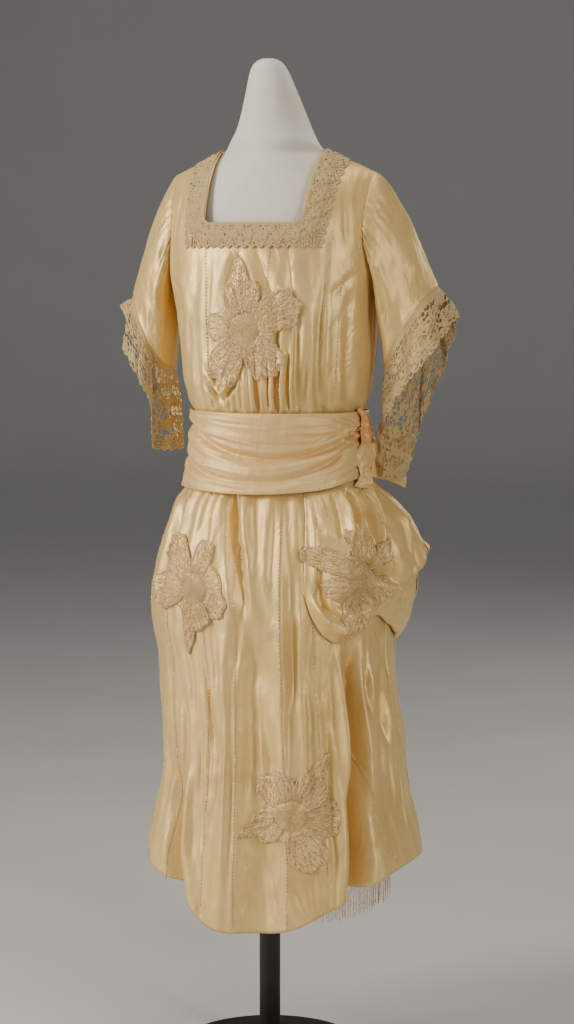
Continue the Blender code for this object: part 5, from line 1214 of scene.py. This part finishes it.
# sleeves and their lace
sleeve = {
    "hem": {"left": (0.2105, 0.045, 1.116), "right": (0.2065, 0.043, 1.117)},
    "outer": (0.035, 0.0155, 0.0620), "depth": 0.052, "backDrop": 0.030, "head": 0.006, "ease": 0.004,
    "gather": 0.0028, "rings": 45, "wall": 0.0012,
}
cuff = {
    # the lower edge: angle, x, y, z
    "left": [
        (0, 0.274, 0.066, 1.134), (45, 0.263, -0.002, 1.092), (90, 0.228, -0.026, 1.042),
        (135, 0.194, -0.006, 1.000), (165, 0.172, 0.020, 0.955), (190, 0.166, 0.042, 0.892),
        (215, 0.186, 0.066, 0.886), (240, 0.194, 0.086, 0.915), (270, 0.203, 0.102, 0.962),
        (305, 0.232, 0.106, 1.036), (335, 0.259, 0.094, 1.100), (360, 0.274, 0.066, 1.134),
    ],
    "right": [
        (0, 0.258, 0.060, 1.118), (45, 0.240, 0.000, 1.082), (90, 0.204, -0.024, 1.035),
        (125, 0.190, -0.010, 0.990), (150, 0.196, 0.006, 0.930), (175, 0.172, 0.024, 0.926),
        (200, 0.163, 0.050, 0.928), (230, 0.186, 0.076, 0.942), (260, 0.207, 0.096, 0.975),
        (300, 0.240, 0.108, 1.045), (330, 0.286, 0.100, 1.140), (345, 0.288, 0.086, 1.148),
        (360, 0.258, 0.060, 1.118),
    ],
    "wall": 0.0009, "scallop": 0.0040, "pitch": 0.012, "border": 0.0034, "tape": 0.012, "grid": (108, 62),
    # pitch, rosette, row, cell and bar of the lace
    "lace": (0.0260, 0.0086, 0.0300, 0.0084, 0.0022),
}


def hemLoop(angle, side):
    sign = 1 if side == "left" else -1
    centre, outer = np.array(sleeve["hem"][side]), np.array(sleeve["outer"])
    points = centre + outer * np.cos(angle)[..., None]
    points[..., 1] -= sleeve["depth"] * np.sin(angle)
    points[..., 2] -= sleeve["backDrop"] * np.clip(-np.sin(angle), 0, None)
    return points * (sign, 1, 1)


def makeSleeves(front, back, armRows):
    for side, sign in (("left", 1), ("right", -1)):
        down = front[:armRows, -1 if sign > 0 else 0]
        up = back[armRows:0:-1, 0 if sign > 0 else -1]
        loop = np.concatenate([down, up])
        middle = (loop.max(axis=0) + loop.min(axis=0)) / 2
        around = np.degrees(np.arctan2(middle[1] - loop[:, 1], loop[:, 2] - middle[2])) % 360
        around[0], around[armRows] = 0, 180
        angle = np.radians(around)
        end = hemLoop(angle, side)
        upper = np.clip(np.cos(angle), 0, 1)
        away = np.stack([sign * upper, -0.8 * np.sin(angle), 0.45 * upper], -1)
        outward = np.stack([sign * np.cos(angle) * 0.4 + 0 * angle, -np.sin(angle), 0.5 * np.cos(angle)], -1)
        around = np.abs((angle / math.pi + 1) % 2 - 1) * 0.16
        rings = []
        for t in np.linspace(0, 1, sleeve["rings"]):
            puff = np.sin(math.pi * t ** 0.75) * (sleeve["head"] * upper + sleeve["ease"])
            # gathered into the armhole in front and behind, soft creases below
            fade = math.exp(-(t / 0.26) ** 2)
            gather = sleeve["gather"] * np.sin(angle * 31 + 2 * np.sin(angle * 3)) * fade * min(t / 0.03, 1)
            gather = gather * np.clip(np.abs(np.sin(angle)) * 1.6 - 0.3, 0, 1)
            soft = 0.0014 * np.sin(angle * 7 + t * 5 + sign) * math.sin(math.pi * t)
            uneven = crinkle(around, t * 0.2, 0.0034, 50 + sign, 0.026, 0.060)
            soft = soft + uneven * min(t / 0.06, 1, (1 - t) / 0.04)
            rings.append(loop + (end - loop) * t + away * puff[:, None] + outward * (gather + soft)[:, None])
        grid = np.array(rings)
        grid = grid[:, ::-1] if sign > 0 else grid
        mesh = gridMesh("sleeve" + side.title(), grid, [satin], closed=True)
        dress(thicken(mesh, sleeve["wall"], even=False), "sleeve_" + side)
        makeCuff(side, sign)
    print("sleeves made")


def makeCuff(side, sign):
    cols, rows = cuff["grid"]
    for half, first in (("front", 0.0), ("back", 180.0)):
        degrees = np.linspace(first, first + 180, cols + 1)
        angle = np.radians(degrees)
        top = hemLoop(angle, side)
        edge = np.stack(columns(degrees, cuff[side]), -1) * (sign, 1, 1)
        share = np.linspace(0, 1, rows + 1)
        rings = top[None] + (edge - top)[None] * share[:, None, None]
        wave = 0.004 * np.cos(angle * 7)[None, :] * np.sin(math.pi * share)[:, None]
        wave = wave + 0.0022 * np.sin(angle * 15 + 1.3)[None, :] * share[:, None] ** 1.5
        outward = np.stack([sign * np.cos(angle), -np.sin(angle), 0 * angle], -1)
        rings = rings + outward[None] * wave[..., None]
        u, v = gridLengths(rings)
        toEdge = v[-1][None, :] - v
        along, across = u + 0.002 * np.sin(v * 90), toEdge + 0.002 * np.sin(u * 70)
        keep, relief = laceWork(along, across, *cuff["lace"], 8 + sign)
        scallop = toEdge - cuff["scallop"] * (1 - np.abs(np.sin(math.pi * u[-1] / cuff["pitch"])))[None, :]
        border = cuff["border"] - scallop
        # a ribbed tape joins the lace to the sleeve
        tape = v < cuff["tape"]
        keep = np.where(tape, 0.001, keep)
        relief = np.where(tape, 0.0004 * np.cos(v * 2 * math.pi / 0.0030), relief)
        relief = relief + np.where(border > 0, 0.0005, 0)
        field = np.minimum(np.maximum(keep, border), scallop)
        field = np.where(v <= 0.0005, 0.001, field)
        rings = rings + gridNormals(rings) * -sign * relief[..., None]
        if sign > 0:
            rings, field = rings[:, ::-1], field[:, ::-1]
        mesh = clipMesh("cuffLace" + half.title() + side.title(), rings, field, [cotton])
        dress(thicken(mesh, cuff["wall"], even=False), "cuff_lace_%s_%s" % (half, side))


# beaded flowers: direction, reach, half angle, roundness of each lobe
flowers = {
    "flower_chest": [(98, 0.112, 24, 1.25), (96, 0.074, 40, 2.8), (28, 0.090, 33, 2.6), (176, 0.062, 34, 2.8),
                     (-121, 0.090, 31, 2.8), (-55, 0.082, 34, 2.8)],
    "flower_hip_right": [
        (80, 0.074, 27, 2.0), (134, 0.100, 29, 2.4), (186, 0.100, 29, 2.6), (-34, 0.060, 34, 2.8),
        (-98, 0.100, 22, 1.3), (-88, 0.062, 36, 3.0),
    ],
    "flower_hip_left": [
        (90, 0.076, 31, 3.2), (38, 0.088, 24, 1.5), (150, 0.086, 26, 1.6), (200, 0.054, 38, 3.0),
        (-108, 0.100, 26, 1.4), (-100, 0.068, 38, 3.0), (-30, 0.062, 38, 3.0),
    ],
    "flower_hem": [(58, 0.106, 20, 1.25), (118, 0.066, 38, 3.0), (52, 0.070, 36, 3.0), (204, 0.088, 23, 1.3),
                   (210, 0.060, 38, 3.0), (-66, 0.086, 33, 2.8), (-6, 0.074, 36, 3.0)],
}


# half the flat square it is cut from, its grid, the round middle, and the beads of fans, cords and rings
flowerSizes = {
    "half": 0.122, "cell": 0.0020, "disc": 0.021, "wall": 0.0008, "beadWidth": 0.0013,
    "fanBead": 0.0046, "fanStep": 0.0056, "fanGap": 0.0019, "fanShare": 0.72,
    "cordBead": 0.0030, "cordGap": 0.0023, "ringBead": 0.0032, "ringStep": 0.0034, "ringGap": 0.0027,
}


def petalLimit(lobe, turn):
    # how far a petal reaches at this turn from its middle, with a frilled edge
    reach, half, roundness = lobe[1:]
    share = np.clip(np.abs(turn) / half, 0, 1)
    frill = 1 + 0.030 * np.sin(np.radians(turn) * 17 + lobe[0]) + 0.014 * np.sin(np.radians(turn) * 53)
    return reach * (1 - share ** roundness) ** (1 / roundness) * frill


def petalField(lobes, a, b):
    # distance inside the flower's edge, and the turn and number of the petal that lies on top
    r, direction = np.hypot(a, b), np.degrees(np.arctan2(b, a))
    edge = 0.54 * sum(row[1] for row in lobes) / len(lobes) - r
    best, turn, owner = edge + 0, turnBetween(direction, lobes[0][0]), np.zeros(np.shape(r))
    for k, lobe in enumerate(lobes):
        away = turnBetween(direction, lobe[0])
        inside = petalLimit(lobe, away) - r
        edge = np.maximum(edge, inside)
        rank = np.where(inside > 0, inside + 0.012 * (k % 3) - 0.0003 * np.abs(away), -1)
        turn, owner = np.where(rank > best, away, turn), np.where(rank > best, k, owner)
        best = np.maximum(best, rank)
    return edge, np.radians(turn), owner


def petalLift(a, b, edge, turn, owner):
    disc = flowerSizes["disc"]
    r = np.hypot(a, b)
    rise = ease(np.clip(edge / 0.005, 0, 1))
    petals = 0.0011 + rise * (0.0013 + 0.0009 * (owner % 3) + 0.0005 * np.cos(turn * 34))
    petals = petals + 0.0009 * np.exp(-((edge - 0.0036) / 0.0020) ** 2)
    dome = 0.0028 + 0.0026 * np.clip(1 - (r / disc) ** 2, 0, 1) ** 0.5
    lift = np.where(r < disc, np.maximum(dome, petals), petals)
    return lift - 0.0016 * np.exp(-((r - 0.0230) / 0.0022) ** 2)


def flowerBeads(lobes, local):
    # fans along each petal, cords round it and rings on the middle: distance, direction, heading,
    # length, tone (painted as a glint at its high end) and petal of each bead
    sizes = flowerSizes
    disc, found = sizes["disc"], []
    for k, lobe in enumerate(lobes):
        direction, reach, half = lobe[:3]
        middle, spread = math.radians(direction), math.radians(half)
        fans = int(2 * spread * reach * 0.62 / sizes["fanGap"])
        for n in range(fans):
            turn = (2 * (n + 0.5) / fans - 1) * spread
            limit = float(petalLimit(lobe, math.degrees(turn)))
            r = disc + local.uniform(0.002, 0.008)
            while r < limit - 0.0050:
                if local.random() < sizes["fanShare"]:
                    way = middle + turn + local.normal(0, 0.12)
                    found.append((r, middle + turn, way, sizes["fanBead"], local.random() ** 1.2, k))
                r += sizes["fanStep"]
        for cord in range(2):
            steps = int(reach * 2.4 / sizes["cordBead"])
            for n in range(steps):
                share = math.sin((2 * (n + 0.5) / steps - 1) * math.pi / 2)
                limit = float(petalLimit(lobe, share * half)) - 0.0016 - sizes["cordGap"] * cord
                if limit > disc * 1.2:
                    angle = middle + share * spread
                    way = angle + math.pi / 2 + 0.9 * share
                    found.append((limit, angle, way, sizes["cordBead"], 0.4 + 0.6 * local.random(), k))
    for ring in np.arange(0.0024, disc, sizes["ringGap"]):
        for n in range(int(2 * math.pi * ring / sizes["ringStep"])):
            angle = n * sizes["ringStep"] / ring
            way = angle + (math.pi / 2 if ring > disc * 0.55 else 0.3)
            found.append((ring, angle, way, sizes["ringBead"], local.random(), -1))
    return found


def makeFlower(node, sheet, seed):
    lobes = flowers[node]
    size = flowerSizes["half"]
    cells = int(2 * size / flowerSizes["cell"])
    b, a = np.meshgrid(np.linspace(size, -size, cells), np.linspace(-size, size, cells), indexing="ij")
    points, normals = layOn(sheet, a, b)
    points, normals = points.reshape(cells, cells, 3), normals.reshape(cells, cells, 3)
    edge, turn, owner = petalField(lobes, a, b)
    grid = points + normals * petalLift(a, b, edge, turn, owner)[..., None]
    petalUv = np.stack([turn * 0.05 + owner * 0.31, np.hypot(a, b)], -1)
    name = "".join(w.title() if n else w for n, w in enumerate(node.split("_")))
    base = thicken(clipMesh(name, grid, edge, [beadGround], petalUv), flowerSizes["wall"], even=False)
    dress(base, node)
    r, angle, way, length, tone, rank = np.array(flowerBeads(lobes, np.random.default_rng(seed))).T
    x, y = r * np.cos(angle), r * np.sin(angle)
    edge, turn, owner = petalField(lobes, x, y)
    shown = (rank < 0) | (rank == owner)
    at, normal = layOn(sheet, x, y)
    at = at + normal * (petalLift(x, y, edge, turn, owner) + 0.0003)[:, None]
    along = sheet["across"] * np.cos(way)[:, None] + sheet["up"] * np.sin(way)[:, None]
    along = along - normal * np.sum(along * normal, axis=1, keepdims=True)
    piece = beads(name + "Beads", at[shown], along[shown], normal[shown], length[shown],
                  flowerSizes["beadWidth"], glass, tone[shown])
    dress(piece, None)


# rows of small beads down the seams
beadLines = {
    "skirt": [
        [(0.87, -42), (0.60, -39), (0.29, -37)], [(0.85, -17.5), (0.60, -15), (0.26, -14)],
        [(0.87, -3), (0.60, -1), (0.24, 0)], [(0.87, 18.7), (0.24, 18.2)], [(0.80, 36.5), (0.27, 34.5)],
        [(0.62, 53), (0.556, 55), (0.45, 61), (0.36, 66.5), (0.326, 73)],
        [(0.67, 78.5), (0.60, 90), (0.52, 93.5), (0.458, 105), (0.33, 110)],
        [(0.86, -66), (0.30, -64)], [(0.86, -90), (0.34, -90)], [(0.86, -112), (0.33, -114)],
        [(0.86, -136), (0.32, -137)], [(0.86, -160), (0.31, -161)], [(0.86, 176), (0.31, 176)],
        [(0.62, 150), (0.32, 149)], [(0.62, 128), (0.33, 127)],
    ],
    "bodice": [53, 104, 150, -150, -104],
    # x and z seen square on
    "chest": [[
        (-0.070, 1.236), (-0.066, 1.120), (-0.060, 1.000),
    ], [
        (0.034, 1.236), (0.030, 1.170), (0.046, 1.060), (0.048, 0.998),
    ],
              [(0.120, 1.262), (0.112, 1.180), (0.106, 1.100)]],
    "drape": [(77.3, 0.882), (75.6, 0.850), (76.5, 0.810), (81.3, 0.768), (84.4, 0.740)],
}


# bead and stitch are length and width
beadRows = {"step": 0.0052, "lift": 0.0004, "bead": (0.0040, 0.0019), "stitch": (0.0026, 0.0006),
            "stitchStep": 0.0046, "stitchShares": (0.972, 0.028), "chestOrigin": (0, -0.05, 1.117)}


def dotted(points, step):
    # even steps along a line of points
    gap = np.linalg.norm(np.diff(points, axis=0), axis=1)
    run = np.concatenate([[0], np.cumsum(gap)])
    at = np.arange(step / 2, run[-1], step)
    ahead, back = interpRows(at + 0.002, run, points), interpRows(at - 0.002, run, points)
    return interpRows(at, run, points), ahead - back


def skirtBeadRow(line):
    z = np.linspace(line[0][0], line[-1][0], 260)
    angle = np.radians(pairs(z, line))
    points = skirtPoint(angle, z)
    side = skirtPoint(angle + 0.004, z) - points
    at, way = dotted(points, beadRows["step"])
    near = np.interp(np.linspace(0, 1, len(at)), np.linspace(0, 1, len(z)), np.arange(len(z))).astype(int)
    out = np.cross(way, side[near])
    out /= np.linalg.norm(out, axis=1, keepdims=True)
    return at + out * beadRows["lift"], way, out


def straightRow(points, lift, facing):
    # a row whose beads all face one way
    at, way = dotted(points, beadRows["step"])
    return at + lift, way, np.tile(facing, (len(at), 1))


def bodiceBeadRow(degrees):
    z = np.linspace(1.19, 1.0, 100)
    out = radial(math.radians(degrees))
    return straightRow(bodicePoint(np.full(100, math.radians(degrees)), z), out * beadRows["lift"], out)


def chestBeadRow(line, sheet):
    z = np.linspace(line[0][1], line[-1][1], 120)
    x = pairs(z, [(height, across) for across, height in line])
    points, out = layOn(sheet, x, z - beadRows["chestOrigin"][2])
    return straightRow(points, out[0] * beadRows["lift"], out[60])


def drapeBeadRow(grid):
    # down the drape, found on its own grid
    line = [(height, degrees) for degrees, height in beadLines["drape"]]
    z = np.linspace(line[0][0], line[-1][0], 80)
    degrees = pairs(z, line)
    top = pairs(degrees, drape["sashBottom"])
    q = (top - z) / (top - pairs(degrees, drape["bottom"]))
    start = pairs(q, drape["frontEdge"])
    i = np.clip((q * (len(grid) - 1)).round().astype(int), 0, len(grid) - 1)
    j = ((degrees - start) / (drape["seam"] - start) * (grid.shape[1] - 1)).round().astype(int)
    out = gridNormals(grid)[i, j]
    return straightRow(grid[i, j] + out * 0.0006, 0, out[40])


def stitchRow(share):
    # running stitch along one of the sash's edges
    degrees = np.linspace(-180, 180, 700)
    at, way = dotted(sashPoint(degrees, np.full(700, share)), beadRows["stitchStep"])
    out = at * (1, 1, 0) - (0, body["middleY"], 0)
    out /= np.linalg.norm(out, axis=1, keepdims=True)
    return at + out * 0.0003, way, out


def makeBeadLines(bodiceFront, drapeFront):
    sheet = patch(bodiceFront, beadRows["chestOrigin"], (1, 0, 0), (0, 0, 1))
    lower = [skirtBeadRow(line) for line in beadLines["skirt"]]
    upper = [bodiceBeadRow(degrees) for degrees in beadLines["bodice"]]
    upper += [chestBeadRow(line, sheet) for line in beadLines["chest"]] + [drapeBeadRow(drapeFront)]
    sewn = [stitchRow(share) for share in beadRows["stitchShares"]]
    # name, rows, bead, material, slot, and how few of the beads get a painted glint
    for name, rows, bead, mat, slotName, power in (
        ("skirtBeadRows", lower, "bead", clear, "beadwork", 2.2),
        ("bodiceBeadRows", upper, "bead", clear, "beadwork", 2),
        ("sashStitches", sewn, "stitch", thread, "sash_satin", 1),
    ):
        place, along, normal = (np.concatenate(part) for part in zip(*rows))
        tone = rng.random(len(place)) ** power
        dress(beads(name, place, along, normal, *beadRows[bead], mat, tone), None)
    print("bead rows made")


# dress form and stand
def makeForm():
    only(bpy.data.objects["dress_form"])
    bpy.ops.object.duplicate()
    form = bpy.context.view_layer.objects.active
    form.name = "dressForm"
    form.data.materials.clear()
    form.data.materials.append(cover)
    bpy.ops.object.mode_set(mode="EDIT")
    bpy.ops.mesh.select_all(action="SELECT")
    bpy.ops.mesh.remove_doubles(threshold=0.00005)
    bpy.ops.mesh.tris_convert_to_quads()
    bpy.ops.mesh.normals_make_consistent(inside=False)
    bpy.ops.object.mode_set(mode="OBJECT")
    smooth = form.modifiers.new("round", "SUBSURF")
    smooth.levels = smooth.render_levels = 2
    applyAll(form)
    bpy.ops.object.shade_smooth()
    dress(form, "dress_form")


# name, node, radius, bottom, height, sides, rounded edge and its segments
stand = [
    ("standBase", "stand_base", 0.145, 0, 0.012, 96, 0.004, 4),
    ("standPole", "stand_pole", 0.016, 0.0122, 0.6876, 48, 0.001, 2),
]


def makeStand():
    for name, node, radius, bottom, height, sides, bevel, segments in stand:
        bpy.ops.object.select_all(action="DESELECT")
        bpy.ops.mesh.primitive_cylinder_add(vertices=sides, radius=radius, depth=height,
                                            location=(0, 0, bottom + height / 2))
        thing = bpy.context.view_layer.objects.active
        thing.name = name
        bpy.ops.object.transform_apply(location=True, rotation=True, scale=True)
        edge = thing.modifiers.new("edge", "BEVEL")
        edge.width = bevel
        edge.segments = segments
        edge.limit_method = "ANGLE"
        applyAll(thing)
        bpy.ops.object.shade_smooth_by_angle(angle=math.radians(35))
        thing.data.materials.clear()
        thing.data.materials.append(metal)
        dress(thing, node)
    print("form and stand made")


# floor and light
stage = {
    "sweep": [(-9, 0), (6.6, 0), (7.7, 0.25), (8.4, 1.0), (8.7, 2.2), (8.8, 9)], "half": 9,
    "air": (0.96, 0.98, 1.0, 1), "airStrength": 0.13, "warm": (1, 0.935, 0.84),
    # name, power, width, height, place, aimed at: tall soft boxes, so that the satin shines from neck to hem
    "softBoxes": [
        ("keyLight", 104, 1.1, 2.2, (-2.15, -1.85, 1.9), (0, 0, 0.9)),
        ("fillLight", 34, 0.5, 1.8, (2.5, -1.6, 1.5), (0, 0, 0.9)),
        ("topLight", 18, 1.2, 1.2, (0.2, -0.2, 3.0), (0, 0, 1.0)),
        ("backLight", 34, 1.4, 1.6, (1.6, 3.2, 2.3), (0, 0, 0.9)),
    ],
}


def makeStage():
    mat, nodes, links, shader = newMaterial("paleFloor")
    place = coords(nodes, links, "Object", (1, 1, 1))
    worn = noise(nodes, links, place, 3, 5)
    finish(nodes, links, shader, mixColour(nodes, links, worn, (0.60, 0.60, 0.59, 1), (0.66, 0.66, 0.65, 1)),
           mapTo(nodes, links, worn, 0.3, 0.7, 0.7, 0.85), [(noise(nodes, links, place, 260, 3), 0.1, 0.001)])
    turn = math.radians(camera["turn"])
    points, faces = [], []
    for depth, z in stage["sweep"]:
        for side in (-stage["half"], stage["half"]):
            points.append((side * math.cos(turn) - depth * math.sin(turn),
                           side * math.sin(turn) + depth * math.cos(turn), z))
    for n in range(len(stage["sweep"]) - 1):
        faces.append((2 * n, 2 * n + 1, 2 * n + 3, 2 * n + 2))
    floor = addMesh("floor", points, faces, [mat])
    sweep = floor.modifiers.new("sweep", "SUBSURF")
    sweep.levels = sweep.render_levels = 3
    applyAll(floor)
    floor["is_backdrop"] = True
    world = bpy.data.worlds.new("studio")
    world.use_nodes = True
    world.node_tree.nodes["Background"].inputs["Color"].default_value = stage["air"]
    world.node_tree.nodes["Background"].inputs["Strength"].default_value = stage["airStrength"]
    bpy.context.scene.world = world
    for name, power, width, height, place, aim in stage["softBoxes"]:
        data = bpy.data.lights.new(name, "AREA")
        data.energy = power
        data.color = stage["warm"]
        data.shape = "RECTANGLE"
        data.size, data.size_y = width, height
        lamp = bpy.data.objects.new(name, data)
        bpy.context.scene.collection.objects.link(lamp)
        lamp.location = place
        x, y, z = (aim[k] - place[k] for k in range(3))
        lamp.rotation_euler = (math.atan2(math.hypot(x, y), -z), 0, math.atan2(-x, y))


addCamera()
makeStage()
makeForm()
makeStand()
bodiceFront, bodiceBack, armRows = makeBodice()
makeCollar()
skirtFront = makeSkirt()
drapeFront = makeDrape()
makeSash()
makeSashEnds()
makeTail()
makeSleeves(bodiceFront, bodiceBack, armRows)
chest = patch(bodiceFront, (-0.002, -0.05, 1.117), (1, 0, 0), (0, 0, 1))
makeFlower("flower_chest", chest, 11)
for node, sheet, degrees, z, seed, under in (
    ("flower_hip_right", skirtFront, -27, 0.735, 12, "skirtFront"),
    ("flower_hem", skirtFront, 29, 0.408, 13, "skirtFront"),
    ("flower_hip_left", drapeFront, 62, 0.756, 14, "hipDrape"),
):
    at = math.radians(degrees)
    origin = radial(at) * 0.07 + (0, body["middleY"], z)
    makeFlower(node, patch(sheet, origin, (math.cos(at), math.sin(at), 0), (0, 0, 1)), seed)
print("flowers made")
makeBeadLines(bodiceFront, drapeFront)

for thing in sorted(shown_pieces(), key=lambda o: o.name):
    print(thing.name, sum(len(p.vertices) - 2 for p in thing.data.polygons), "triangles")
